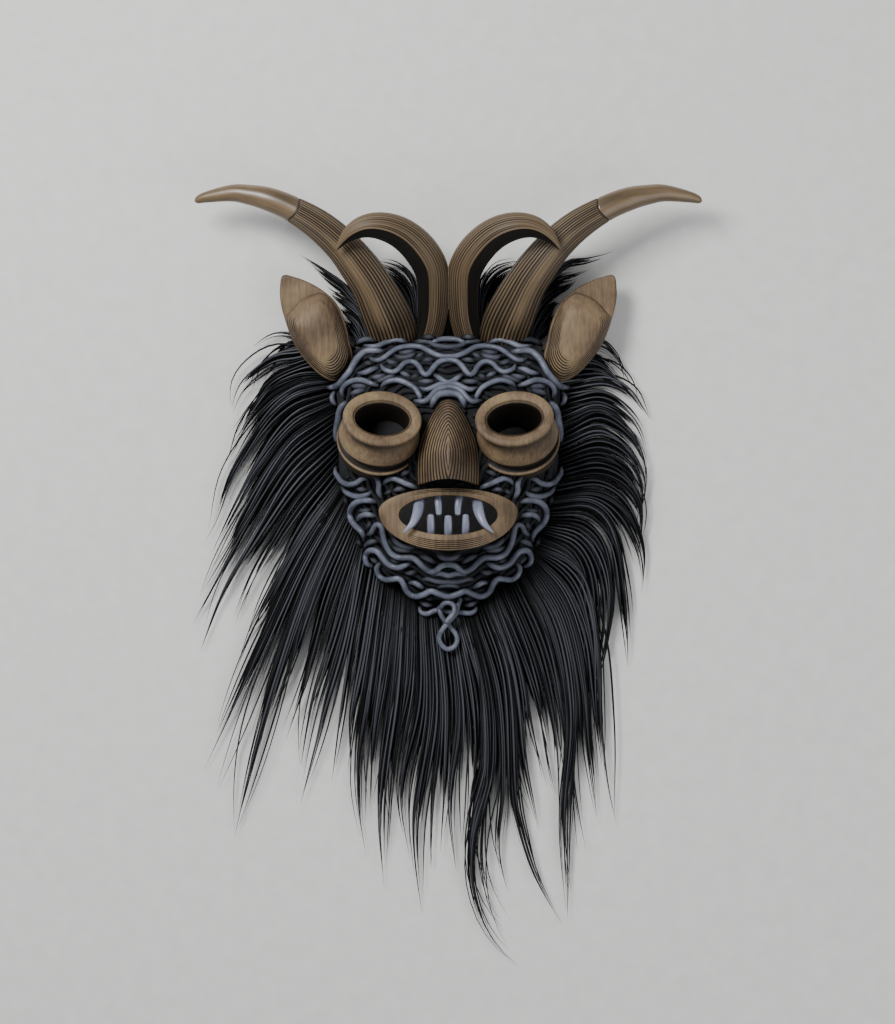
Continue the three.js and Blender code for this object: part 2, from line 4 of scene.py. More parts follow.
import bpy
import numpy as np
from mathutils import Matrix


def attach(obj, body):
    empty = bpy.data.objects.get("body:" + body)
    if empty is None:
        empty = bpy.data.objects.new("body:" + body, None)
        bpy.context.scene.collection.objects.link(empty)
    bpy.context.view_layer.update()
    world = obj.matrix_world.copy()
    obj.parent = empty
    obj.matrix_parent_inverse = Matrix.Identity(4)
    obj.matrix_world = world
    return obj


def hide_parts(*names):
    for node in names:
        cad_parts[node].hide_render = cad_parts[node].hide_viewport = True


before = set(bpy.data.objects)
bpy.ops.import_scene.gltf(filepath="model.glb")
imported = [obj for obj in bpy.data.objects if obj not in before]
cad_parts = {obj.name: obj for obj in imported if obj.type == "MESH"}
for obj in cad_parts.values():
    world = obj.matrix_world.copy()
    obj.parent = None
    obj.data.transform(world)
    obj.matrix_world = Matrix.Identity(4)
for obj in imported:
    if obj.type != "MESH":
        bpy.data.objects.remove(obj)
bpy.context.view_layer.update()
bpy.ops.object.select_all(action="DESELECT")

# Sizes in millimetres. A place on the face is (across, down): across from the middle line, to the
# right, and down from the top of the cord area.
MM = 0.001
TOP_Y = 243.9                  # y of the top of the cord area
GAP = 0.3                      # left between pieces that stand close
SHELL_WALL = 6
SHELL_INSET = 7.7              # from the cord area's edge to the shell
FACE_DEPTH = 97                # height of the cord area over the floor, where it is highest
FACE_CROWN = 118               # how far down that is
FACE_FALL = 0.0022             # how fast the height falls above and below it
ROUNDNESS = 2.6                # of the dome's section: 2 is an ellipse, and more is fuller
FACE_CENTRE = 113              # how far down the middle of the dome lies
CENTRE_Y = TOP_Y - FACE_CENTRE
FACE_EDGE = 0.985              # share of the way out where places start to go down beside the shell
CROWN_DOWN = -4                # where the cord area's edge crosses the middle line, above and below
CHIN_DOWN = 283
# The edge on one side in between: half width, and how far down.
FACE_OUTLINE = [(58, -3), (84, 0), (103, 11), (113, 27), (117.5, 49), (115, 84), (114, 135), (104, 163),
                (98, 186), (87, 210), (78, 232), (62, 250), (41, 265), (22, 277)]
PHOTO_CENTRE = (-0.8, 68.9)    # x and y under the middle of the picture
PHOTO_HEIGHT = 1024            # the picture's height, measured on the object
TURN = 2 * math.pi


# Curves and surfaces

CURVE_STEPS = 24               # steps of a curve between two of its points
OUTLINE_STEPS = 360
EDGE_BAND = 10                 # width of the band inside the outline that reach measures in
CUT_WIDTH = 0.3                # half width of a carved line, as a share of the space between two


def way(value, start, end):
    """How far a value is on its way from start, 0, to end, 1."""
    return np.clip((value - start) / (end - start), 0, 1)


def bell(value, middle, spread):
    """1 at the middle, falling off softly to both sides."""
    return np.exp(-((value - middle) / spread) ** 2)


def lines(phase):
    """Depth, 0 to 1, of V-shaped lines cut at every whole number of phase."""
    return np.clip(1 - np.abs((phase + 0.5) % 1 - 0.5) / CUT_WIDTH, 0, 1)


def smooth_path(points, count, closed=False):
    """Evenly spaced places on a smooth curve through the points."""
    points = np.asarray(points, float)
    if closed:
        ring = np.vstack([points[-1], points, points[:2]])
    else:
        ring = np.vstack([2 * points[0] - points[1], points, 2 * points[-1] - points[-2]])
    fine = []
    share = np.linspace(0, 1, CURVE_STEPS, endpoint=False)[:, None]
    for before, start, end, after in zip(ring, ring[1:], ring[2:], ring[3:]):
        fine.append(0.5 * (2 * start + (end - before) * share
                           + (2 * before - 5 * start + 4 * end - after) * share ** 2
                           + (3 * start - before - 3 * end + after) * share ** 3))
    fine = np.vstack(fine + [ring[-2:-1]])
    run = run_along(fine)
    wanted = np.linspace(0, run[-1], count, endpoint=not closed)
    return np.stack([np.interp(wanted, run, column) for column in fine.T], axis=1)


def floor_route(points, count, closed=False):
    """An even route through rows that start with a place (across, down), with y put in place of down."""
    points = np.array(points, float)
    points[:, 1] = TOP_Y - points[:, 1]
    return smooth_path(points, count, closed)


def run_along(path):
    """The distance along a path at each of its places."""
    return np.concatenate([[0], np.cumsum(np.linalg.norm(np.diff(path[:, :3], axis=0), axis=1))])


def face_outline():
    """The edge of the cord area about the middle of the face, anticlockwise from the crown."""
    left = [(-half, FACE_CENTRE - down) for half, down in FACE_OUTLINE]
    right = [(half, FACE_CENTRE - down) for half, down in reversed(FACE_OUTLINE)]
    whole = [(0, FACE_CENTRE - CROWN_DOWN)] + left + [(0, FACE_CENTRE - CHIN_DOWN)] + right
    return smooth_path(whole, OUTLINE_STEPS, closed=True)


OUTLINE = face_outline()
INWARD = (np.roll(OUTLINE, -1, axis=0) - np.roll(OUTLINE, 1, axis=0))[:, ::-1] * (-1, 1)
INWARD /= np.linalg.norm(INWARD, axis=1)[:, None]
EDGE_RINGS = (OUTLINE, OUTLINE + INWARD * EDGE_BAND)


def crown_height(y):
    """Height of the cord area above the floor along its middle line."""
    return FACE_DEPTH - FACE_FALL * (TOP_Y - y - FACE_CROWN) ** 2


def reach(turn, inset):
    """Distance at an angle from the middle of the face to its outline, drawn in by inset."""
    whole, drawn_in = [np.interp(turn, np.arctan2(ring[:, 1], ring[:, 0]), np.hypot(*ring.T), period=TURN)
                       for ring in EDGE_RINGS]
    return whole + (drawn_in - whole) * inset / EDGE_BAND


def pushed_out(spots, inset):
    """Moves places away from the middle of the face, over the floor, until they are past the inset."""
    away = spots[..., :2] - (0, CENTRE_Y)
    least = reach(np.arctan2(away[..., 1], away[..., 0]), inset)
    grow = np.maximum(least / np.maximum(np.hypot(away[..., 0], away[..., 1]), 1), 1)
    spots[..., :2] = (0, CENTRE_Y) + away * grow[..., None]
    return spots


def dome_place(turn, rise, inset):
    """Places on a dome at an angle round it, from its foot, rise 0, to its middle, rise 1."""
    out = np.maximum(np.cos(rise * math.pi / 2), 0) ** (2 / ROUNDNESS)
    up = np.sin(rise * math.pi / 2) ** (2 / ROUNDNESS)
    away = out * reach(turn, inset)
    y = CENTRE_Y + away * np.sin(turn)
    return np.stack([away * np.cos(turn), y, (crown_height(y) - inset) * up], axis=-1)


def shell_height(x, y):
    """Height of the shell over places on the floor. Past its edge it goes on down, below the floor too."""
    rise = y - CENTRE_Y
    turn = np.arctan2(rise, x)
    edge = reach(turn, SHELL_INSET)
    far = np.hypot(x, rise) / edge
    out = np.minimum(far, FACE_EDGE)
    height = crown_height(CENTRE_Y + out * edge * np.sin(turn)) - SHELL_INSET
    return height * (1 - out ** ROUNDNESS) ** (1 / ROUNDNESS) - (far - out) * edge


# Meshes

MERGE_DISTANCE = 0.00001       # in metres
SMOOTH_ANGLE = 0.7             # in radians


def read_floats(items, name, width):
    """One attribute of all points or corners, as rows of so many numbers."""
    values = np.empty(len(items) * width)
    items.foreach_get(name, values)
    return values.reshape(-1, width)


def add_tone(mesh, tone):
    """Keeps a number from 0 to 1 at each point, which the materials read."""
    mesh.attributes.new("tone", "FLOAT", "POINT").data.foreach_set("value", np.asarray(tone, float))


def finish_mesh(piece):
    """Merges edges that meet, turns the faces outward and shades them smooth up to an angle."""
    bpy.context.view_layer.objects.active = piece
    piece.select_set(True)
    bpy.ops.object.mode_set(mode="EDIT")
    bpy.ops.mesh.select_all(action="SELECT")
    bpy.ops.mesh.remove_doubles(threshold=MERGE_DISTANCE)
    bpy.ops.mesh.normals_make_consistent(inside=False)
    bpy.ops.object.mode_set(mode="OBJECT")
    bpy.ops.object.shade_smooth_by_angle(angle=SMOOTH_ANGLE)
    piece.select_set(False)


def put_uv(mesh, name, first, second, corners):
    """Fills a UV map from two numbers at each point."""
    layer = mesh.uv_layers.get(name) or mesh.uv_layers.new(name=name)
    both = np.stack(np.broadcast_arrays(np.asarray(first, float), second), axis=1)
    layer.data.foreach_set("uv", both[corners].ravel())


def rolled_grid(name, columns, rows, place, materials, paint=None, flip=1):
    """A grid moved into shape. For its two shares, place gives each point's place, run and tone, and
    on a carved piece the count of the lines and how strongly they are cut."""
    bpy.ops.mesh.primitive_grid_add(x_subdivisions=columns, y_subdivisions=rows, size=2)
    piece = bpy.context.active_object
    piece.name = name
    mesh = piece.data
    mesh.name = name
    share = (read_floats(mesh.vertices, "co", 3)[:, :2] + 1) / 2
    corners = read_floats(mesh.loops, "vertex_index", 1).astype(int).ravel()
    places, run, tone, *carving = place(share[:, 0], share[:, 1])
    mesh.vertices.foreach_set("co", (places * MM * (flip, 1, 1)).ravel())
    mesh.uv_layers[0].name = "along"
    put_uv(mesh, "along", share[:, 0], run, corners)
    if carving:
        put_uv(mesh, "carving", *carving, corners)
    add_tone(mesh, np.broadcast_to(tone, len(share)))
    for material in materials:
        mesh.materials.append(MATERIALS[material])
    if paint:
        middle = share[corners.reshape(-1, 4)].mean(axis=1)
        mesh.polygons.foreach_set("material_index", paint(middle[:, 0], middle[:, 1]).astype(int))
    finish_mesh(piece)
    return piece


def capped(along, rows):
    """Shares along a closed form whose first and last rows shrink to a point, and a 0 or 1 for that."""
    step = np.rint(along * rows)
    return np.clip((step - 1) / (rows - 2), 0, 1), ((step > 0) & (step < rows)).astype(float)


def fit_out(piece, slot, *nodes):
    """Rides the mask and stands for the plain solids, which it hides. Its slot is not used."""
    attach(piece, "root")
    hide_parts(*nodes)


def across_and_up(path):
    """The level and the lifted direction across each place of a path, or of a set of paths."""
    along = np.gradient(path, axis=-2)
    along /= np.linalg.norm(along, axis=-1)[..., None] + 1e-9
    level = np.stack([-along[..., 1], along[..., 0], np.zeros(along.shape[:-1])], axis=-1)
    level /= np.linalg.norm(level, axis=-1)[..., None] + 1e-9
    return level, np.cross(along, level)


def round_rod(route, run, across, up):
    """Places round a rod of which each row holds the place, width and depth: at a distance along it,
    and off its middle by these shares of half its width and depth."""
    level, lift = across_and_up(route[:, :3])
    table = np.hstack([route, level, lift])
    there = [np.interp(run, run_along(route), column) for column in table.T]
    centre, level, lift = [np.stack(there[first:first + 3], axis=1) for first in (0, 5, 8)]
    return centre + level * (there[3] / 2 * across)[:, None] + lift * (there[4] / 2 * up)[:, None]


def eased(route, steps):
    """Evens out a route's bends over so many steps each way, its ends kept."""
    kernel = np.hanning(2 * steps + 3)[1:-1]
    longer = np.pad(route, ((steps, steps), (0, 0)), mode="reflect", reflect_type="odd")
    kernel /= kernel.sum()
    return np.stack([np.convolve(column, kernel, mode="valid") for column in longer.T], axis=1)


def tubes(paths, wide, deep, sides):
    """Closed round tubes along paths, as points, faces and the two shares of each point."""
    strands, steps, _ = paths.shape
    level, lift = across_and_up(paths)
    turn = np.arange(sides) / sides * TURN
    offset = (level[:, :, None] * (np.cos(turn)[:, None] * wide[..., None, None])
              + lift[:, :, None] * (np.sin(turn)[:, None] * deep[..., None, None]))
    points = (paths[:, :, None] + offset).reshape(-1, 3)
    first = (np.arange(strands)[:, None, None] * steps + np.arange(steps - 1)[:, None]) * sides
    this = np.arange(sides)
    after = (this + 1) % sides
    quads = np.stack([first + this, first + after, first + sides + after, first + sides + this], axis=-1)
    starts = np.arange(strands)[:, None] * steps * sides
    faces = quads.reshape(-1, 4).tolist()
    faces += (starts + this[::-1]).tolist() + (starts + (steps - 1) * sides + this).tolist()
    run = np.stack([run_along(path) for path in paths])
    shares = np.stack(np.broadcast_arrays(turn / TURN, run[..., None]), axis=-1).reshape(-1, 2)
    return points, faces, shares


def tube_piece(name, bundles, material):
    """One piece from bundles of (points, faces, shares, tone)."""
    points, faces, shares, tone = [], [], [], []
    for bundle in bundles:
        start = sum(len(part) for part in points)
        points.append(bundle[0])
        faces += [[corner + start for corner in face] for face in bundle[1]]
        shares.append(bundle[2])
        tone.append(bundle[3])
    mesh = bpy.data.meshes.new(name)
    mesh.from_pydata((np.vstack(points) * MM).tolist(), [], faces)
    layer = mesh.uv_layers.new(name="along")
    corners = read_floats(mesh.loops, "vertex_index", 1).astype(int).ravel()
    layer.data.foreach_set("uv", np.vstack(shares)[corners].ravel())
    add_tone(mesh, np.concatenate(tone))
    mesh.materials.append(MATERIALS[material])
    mesh.shade_smooth()
    piece = bpy.data.objects.new(name, mesh)
    bpy.context.scene.collection.objects.link(piece)
    return piece


# Materials

SHADE_AND_SEAM_DARK = "#16100A"              # painted shade on wood and horn, and the dark of the horns' seam
INK = "#120C07"                # grime and painted shade in their carved lines
INK_STRENGTH = 1.6             # how soon a shallow line is fully dark
INK_WIDTH = 0.34               # half width of a dark line, as a share of the space between two


def linear(hex_colour):
    """The linear value of an sRGB colour."""
    parts = [int(hex_colour[i:i + 2], 16) / 255 for i in (1, 3, 5)]
    return tuple(c / 12.92 if c <= 0.04045 else ((c + 0.055) / 1.055) ** 2.4 for c in parts) + (1.0,)


def add_node(material, kind, settings=(), links=(), stops=()):
    """Adds a node with its values and a ramp's coloured stops, and links its inputs to other nodes."""
    node = material.node_tree.nodes.new(kind)
    for name, value in dict(settings).items():
        if isinstance(name, int) or name in node.inputs:
            node.inputs[name].default_value = value
        else:
            setattr(node, name, value)
    for name, (source, output) in dict(links).items():
        material.node_tree.links.new(source.outputs[output], node.inputs[name])
    if stops:
        elements = node.color_ramp.elements
        for _ in stops[len(elements):]:
            elements.new(0.5)
        for element, (place, colour) in zip(elements, stops):
            element.position = place
            element.color = linear(colour)
    return node


def new_material(name, roughness, specular=0.5):
    """A material with one shader, as rough and as reflective as given."""
    material = bpy.data.materials.new(name)
    material.use_nodes = True
    shader = material.node_tree.nodes["Principled BSDF"]
    shader.inputs["Roughness"].default_value = roughness
    shader.inputs["Specular IOR Level"].default_value = specular
    return material


def join_up(material, colour, bump=None, dull=None):
    """Links the colour, the bump and the roughness to the shader, and hands the material on."""
    shader = material.node_tree.nodes["Principled BSDF"]
    for node, output, name in ((colour, "Color", "Base Color"), (bump, "Normal", "Normal"),
                               (dull, "Result", "Roughness")):
        if node:
            material.node_tree.links.new(node.outputs[output], shader.inputs[name])
    return material


def darken_for_shade_and_seam(material, colour, dark, strength=1.0):
    """The colour, darkened where the piece's own tone says: painted shade, and on the horns the dark of
    their seam.
    """
    tone = add_node(material, "ShaderNodeAttribute", {"attribute_name": "tone"})
    share = add_node(material, "ShaderNodeMath", {"operation": "MULTIPLY", 1: strength}, {0: (tone, "Fac")})
    return add_node(material, "ShaderNodeMixRGB", {"Color2": linear(dark)},
                    {"Fac": (share, "Value"), "Color1": (colour, "Color")})


def with_lines(material, colour, bump):
    """The colour and the bump with the lines of the piece's carving map: grooves about 0.5 mm deep, dark
    with grime settled in them and with painted shade."""
    carving = add_node(material, "ShaderNodeUVMap", {"uv_map": "carving"})
    parts = add_node(material, "ShaderNodeSeparateXYZ", links={"Vector": (carving, "UV")})
    away = add_node(material, "ShaderNodeMath", {"operation": "PINGPONG", 1: 0.5}, {0: (parts, "X")})
    near = add_node(material, "ShaderNodeMapRange", {"From Max": INK_WIDTH, "To Min": 1.0, "To Max": 0.0},
                    {"Value": (away, "Value")})
    line = add_node(material, "ShaderNodeMath", {"operation": "MULTIPLY", "use_clamp": True},
                    {0: (near, "Result"), 1: (parts, "Y")})
    share = add_node(material, "ShaderNodeMath",
                     {"operation": "MULTIPLY", 1: INK_STRENGTH, "use_clamp": True}, {0: (line, "Value")})
    inked = add_node(material, "ShaderNodeMixRGB", {"Color2": linear(INK)},
                     {"Fac": (share, "Value"), "Color1": (colour, "Color")})
    grooved = add_node(material, "ShaderNodeBump", {"Strength": 0.8, "Distance": 0.0005, "invert": True},
                       {"Height": (line, "Value"), "Normal": (bump, "Normal")})
    return inked, grooved


def streaked(material, around, per_mm, detail, stops):
    """Noise drawn out along a piece, and its colours: so many streaks round it, and so many to the mm."""
    along = add_node(material, "ShaderNodeUVMap", {"uv_map": "along"})
    stretch = add_node(material, "ShaderNodeMapping", {"Scale": (around, per_mm, 1)},
                       {"Vector": (along, "UV")})
    streaks = add_node(material, "ShaderNodeTexNoise", {"Scale": 1.0, "Detail": detail, "Roughness": 0.6},
                       {"Vector": (stretch, "Vector")})
    return streaks, add_node(material, "ShaderNodeValToRGB", {}, {"Fac": (streaks, "Fac")}, stops)


def clouded(material, per_metre, detail, stops):
    """Soft clouds, so many to the metre, and their colours."""
    place = add_node(material, "ShaderNodeTexCoord")
    cloud = add_node(material, "ShaderNodeTexNoise", {"Scale": per_metre, "Detail": detail},
                     {"Vector": (place, "Object")})
    return cloud, add_node(material, "ShaderNodeValToRGB", {}, {"Fac": (cloud, "Fac")}, stops)


def carved_lime_wood():
    """Lime wood, carved and oiled: a soft grain about 2 mm wide, darker with grime and painted shade in the
    carved lines, and with painted shade in hollows and along rims.
    """
    material = new_material("carved_lime_wood", 0.6, 0.3)
    place = add_node(material, "ShaderNodeTexCoord")
    drawn = add_node(material, "ShaderNodeMapping", {"Scale": (420, 36, 420)},
                     {"Vector": (place, "Object")})
    grain = add_node(material, "ShaderNodeTexNoise", {"Scale": 1.0, "Detail": 5.0, "Roughness": 0.6},
                     {"Vector": (drawn, "Vector")})
    cloud = add_node(material, "ShaderNodeTexNoise", {"Scale": 22.0, "Detail": 3.0},
                     {"Vector": (place, "Object")})
    both = add_node(material, "ShaderNodeMath", {"operation": "MULTIPLY_ADD", 1: 0.55},
                    {0: (grain, "Fac"), 2: (cloud, "Fac")})
    colour = add_node(material, "ShaderNodeValToRGB", {}, {"Fac": (both, "Value")},
                      [(0.55, "#463828"), (0.76, "#665440"), (0.95, "#7D6B50")])
    bump = add_node(material, "ShaderNodeBump", {"Strength": 0.25, "Distance": 0.0004},
                    {"Height": (grain, "Fac")})
    dull = add_node(material, "ShaderNodeMapRange", {"To Min": 0.52, "To Max": 0.7},
                    {"Value": (cloud, "Fac")})
    return join_up(material, *with_lines(material, darken_for_shade_and_seam(material, colour, SHADE_AND_SEAM_DARK), bump), dull)


def scraped_horn():
    """Ram horn, scraped along its length: brown streaks, grime and painted shade in the lines, painted
    shade toward its foot and the dark of its seam, with a dull sheen.
    """
    material = new_material("scraped_horn", 0.5, 0.35)
    streaks, colour = streaked(material, 38, 0.009, 4.0,
                               [(0.32, "#3F3323"), (0.5, "#5F4F3A"), (0.7, "#7C694E")])
    bump = add_node(material, "ShaderNodeBump", {"Strength": 0.3, "Distance": 0.0004},
                    {"Height": (streaks, "Fac")})
    dull = add_node(material, "ShaderNodeMapRange", {"To Min": 0.42, "To Max": 0.62},
                    {"Value": (streaks, "Fac")})
    return join_up(material, *with_lines(material, darken_for_shade_and_seam(material, colour, SHADE_AND_SEAM_DARK), bump), dull)


def polished_horn():
    """Horn tip, sanded and waxed: paler, with cloudy streaks under a gloss."""
    material = new_material("polished_horn", 0.3)
    streaks, colour = streaked(material, 7, 0.012, 3.0,
                               [(0.3, "#50422E"), (0.55, "#6A5842"), (0.75, "#857155")])
    dull = add_node(material, "ShaderNodeMapRange", {"To Min": 0.24, "To Max": 0.42},
                    {"Value": (streaks, "Fac")})
    # Darkened by its tone: the dark of the seam, and painted shade on its upper side past it.
    return join_up(material, darken_for_shade_and_seam(material, colour, SHADE_AND_SEAM_DARK), None, dull)


def shadow_painted_horn():
    """Painted shadow for the hollow face inside a horn's curl: near black, with a few brown streaks left.
    """
    material = new_material("shadow_painted_horn", 0.6, 0.3)
    streaks, colour = streaked(material, 30, 0.009, 4.0,
                               [(0.4, "#0A0908"), (0.62, "#15120E"), (0.85, "#2B2219")])
    bump = add_node(material, "ShaderNodeBump", {"Strength": 0.3, "Distance": 0.0003},
                    {"Height": (streaks, "Fac")})
    return join_up(material, colour, bump)


YARNS = 9                      # twisted together in a cord
TWIST_LENGTH = 70              # mm of cord to one full turn of the twist


def waxed_cord():
    """Cotton cord, dyed blue grey and waxed: yarns with a slow twist, dull where it lies deep, and darkened
    there and on its undersides with painted shade.
    """
    material = new_material("waxed_cord", 0.5, 0.35)
    along = add_node(material, "ShaderNodeUVMap", {"uv_map": "along"})
    parts = add_node(material, "ShaderNodeSeparateXYZ", links={"Vector": (along, "UV")})
    yarns = add_node(material, "ShaderNodeMath", {"operation": "MULTIPLY", 1: YARNS * TURN},
                     {0: (parts, "X")})
    twist = add_node(material, "ShaderNodeMath",
                     {"operation": "MULTIPLY_ADD", 1: YARNS * TURN / TWIST_LENGTH},
                     {0: (parts, "Y"), 2: (yarns, "Value")})
    yarn = add_node(material, "ShaderNodeMath", {"operation": "SINE"}, {0: (twist, "Value")})
    bump = add_node(material, "ShaderNodeBump", {"Strength": 0.2, "Distance": 0.0002},
                    {"Height": (yarn, "Value")})
    cloud, colour = clouded(material, 70.0, 4.0, [(0.3, "#454954"), (0.5, "#585C69"), (0.72, "#6E7280")])
    waxy = add_node(material, "ShaderNodeMapRange", {"To Min": 0.36, "To Max": 0.56},
                    {"Value": (cloud, "Fac")})
    tone = add_node(material, "ShaderNodeAttribute", {"attribute_name": "tone"})
    dull = add_node(material, "ShaderNodeMapRange", {"To Max": 0.95},
                    {"Value": (tone, "Fac"), "To Min": (waxy, "Result")})
    # The near black that the tone mixes in is painted shade.
    return join_up(material, darken_for_shade_and_seam(material, colour, "#040405"), bump, dull)


def stained_bone():
    """Bone, filed and stained blue grey: paler where the file ran, satin."""
    material = new_material("stained_bone", 0.35)
    streaks, colour = streaked(material, 10, 0.05, 3.0,
                               [(0.3, "#5C5F70"), (0.5, "#75798B"), (0.72, "#8E91A3")])
    bump = add_node(material, "ShaderNodeBump", {"Strength": 0.15, "Distance": 0.0002},
                    {"Height": (streaks, "Fac")})
    # The tooth's tone mixes in painted shade at its root and on its underside.
    return join_up(material, darken_for_shade_and_seam(material, colour, "#1B1C22", 0.8), bump)


def blackened_leather():
    """Boiled leather, blackened: a pebbled grain about 1.5 mm across, almost no shine."""
    material = new_material("blackened_leather", 0.75, 0.25)
    place = add_node(material, "ShaderNodeTexCoord")
    pebble = add_node(material, "ShaderNodeTexVoronoi", {"Scale": 650.0}, {"Vector": (place, "Object")})
    bump = add_node(material, "ShaderNodeBump", {"Strength": 0.3, "Distance": 0.0003},
                    {"Height": (pebble, "Distance")})
    _, colour = clouded(material, 35.0, 4.0, [(0.35, "#0A0A0C"), (0.6, "#121216"), (0.85, "#1D1B1A")])
    return join_up(material, colour, bump)


def goat_hair():
    """Long goat hair, dyed black, with a cold sheen: its tone, each hair a little lighter or darker,
    carries a painted highlight, lightest on the top strands.
    """
    material = new_material("goat_hair", 0.45, 0.25)
    tone = add_node(material, "ShaderNodeAttribute", {"attribute_name": "tone"})
    # The lighter stops are painted highlight.
    colour = add_node(material, "ShaderNodeValToRGB", {}, {"Fac": (tone, "Fac")},
                      [(0.0, "#020203"), (0.4, "#0D0E10"), (1.0, "#45474E")])
    dull = add_node(material, "ShaderNodeMapRange", {"To Min": 0.95, "To Max": 0.42},
                    {"Value": (tone, "Fac")})
    return join_up(material, colour, None, dull)


MATERIALS = {
    "wood": carved_lime_wood(), "horn": scraped_horn(), "tip": polished_horn(), "painted_shadow": shadow_painted_horn(),
    "cord": waxed_cord(), "tooth": stained_bone(), "leather": blackened_leather(), "hair": goat_hair(),
}


# The face

EYE_CUT = (30, 60)             # middle and half length of the bar that cuts an eye hole, down its spool
MOUTH_CUT = (60, 80)           # and of the one that cuts the mouth, up from the floor
BAR_SIDES = 96


def cutter(place):
    """A long elliptical bar, moved into place, that cuts a hole."""
    bpy.ops.mesh.primitive_cylinder_add(vertices=BAR_SIDES, radius=1, depth=2)
    bar = bpy.context.active_object
    spots = read_floats(bar.data.vertices, "co", 3)
    bar.data.vertices.foreach_set("co", (place(*spots.T) * MM).ravel())
    bar.select_set(False)
    return bar


def cut_out(piece, bars):
    """Cuts a hole in a piece with each bar, and removes the bars."""
    bpy.context.view_layer.objects.active = piece
    for bar in bars:
        cut = piece.modifiers.new("hole", "BOOLEAN")
        cut.object = bar
        cut.solver = "EXACT"
        bpy.ops.object.modifier_apply(modifier=cut.name)
        bpy.data.objects.remove(bar, do_unlink=True)


def face_shell():
    """Boiled leather over the wearer's face, hollow behind, with holes for the eyes and the mouth."""
    def place(around, along):
        # From the dome's middle down its outside, and up its inside again.
        inset = SHELL_INSET + (along > 0.5) * SHELL_WALL
        return dome_place(around * TURN, np.abs(1 - 2 * along), inset), 0.0, 0.0

    def left_eye(level, across, down):
        return spool_spot(EYE_CUT[0] + down * EYE_CUT[1], level * EYE_BORE[0], across * EYE_BORE[1])

    def right_eye(level, across, down):
        return left_eye(level, across, down) * (-1, 1, 1)

    def mouth(x, y, z):
        return np.stack([x * MOUTH_HOLE["half"], TOP_Y - MOUTH_HOLE["down"] + y * MOUTH_HOLE["rise"],
                         MOUTH_CUT[0] + z * MOUTH_CUT[1]], axis=1)

    shell = rolled_grid("face_shell_smooth", 120, 64, place, ["leather"])
    cut_out(shell, [cutter(left_eye), cutter(right_eye), cutter(mouth)])
    fit_out(shell, "shell", "face_shell")


# Eye spools

SPOOL_FRONT = np.array([-65.3, TOP_Y - 81.6, 118])
SPOOL_AXIS = np.array([-0.105, -0.493, -0.863])
SPOOL_AXIS /= np.linalg.norm(SPOOL_AXIS)
SPOOL_ACROSS = np.cross([1, 0, 0], SPOOL_AXIS)
SPOOL_ACROSS /= np.linalg.norm(SPOOL_ACROSS)
SPOOL_LEVEL = np.cross(SPOOL_AXIS, SPOOL_ACROSS)
EYE_BORE = (26.5, 17.8)
# Places round a spool's section: how far down the spool, and the half width and half height there.
SPOOL_SECTION = [(70, 26.5, 17.8), (7, 26.5, 17.8), (3.0, 27.0, 18.3), (1.5, 28.2, 19.6),
                 (2.6, 28.9, 20.3), (0.5, 29.7, 21.2), (-0.2, 32.0, 23.8), (-0.5, 35.0, 27.0),
                 (0.1, 37.8, 30.0), (1.2, 39.0, 31.3), (2.2, 39.4, 31.7), (2.7, 38.7, 31.0),
                 (3.2, 39.3, 31.6), (4.6, 39.1, 31.4), (5.3, 38.0, 30.4), (6.4, 35.0, 27.4),
                 (8.5, 33.3, 25.6), (12, 32.9, 25.2), (16, 34.4, 27.2), (20, 36.8, 30.2),
                 (24, 38.8, 32.8), (28, 40.1, 34.9), (32, 40.7, 36.0), (34.4, 40.4, 35.9),
                 (35.4, 39.5, 34.9), (35.9, 37.5, 32.9), (36.6, 36.6, 32.0), (42.6, 36.6, 32.2),
                 (43.2, 38.4, 34.0), (43.5, 40.2, 37.8), (44.0, 41.2, 39.2), (45.0, 41.6, 39.8),
                 (46.4, 41.4, 39.6), (47.4, 40.2, 38.2), (48.4, 38.0, 35.0), (52, 37.0, 33.0),
                 (70, 36.0, 30.0)]
SPOOL_LENGTH = 70
SPOOL_OUTSIDE = 30             # the section's outside is wider than this each way
SPOOL_NECK = (36.6, 32.2)      # half width and height of the groove before the flange
SPOOL_LINE = 1.7               # space between two turned lines
FLANGE = (43, 51)              # how far down the flange starts and ends
FLANGE_THINS = (46, 49)        # it is gone where the spool's foot lies at the first, whole at the second
SPOOL_WHOLE = 48               # how far down the spool it is never cut short


def spool_spot(down, level, across):
    """Places from the left spool's own distances: down its axis, and level and upright across it."""
    return (SPOOL_FRONT + np.asarray(down)[:, None] * SPOOL_AXIS + level[:, None] * SPOOL_LEVEL
            + across[:, None] * SPOOL_ACROSS)


def spool_foot(wide, high, turn):
    """How far down its axis each line of a spool meets the shell."""
    foot = np.full(len(turn), float(SPOOL_LENGTH))
    for down in np.arange(SPOOL_LENGTH, 20, -0.5):
        spot = spool_spot(np.full(len(turn), down), wide * np.cos(turn), high * np.sin(turn))
        foot = np.where(spot[:, 2] < shell_height(spot[:, 0], spot[:, 1]), down, foot)
    return foot


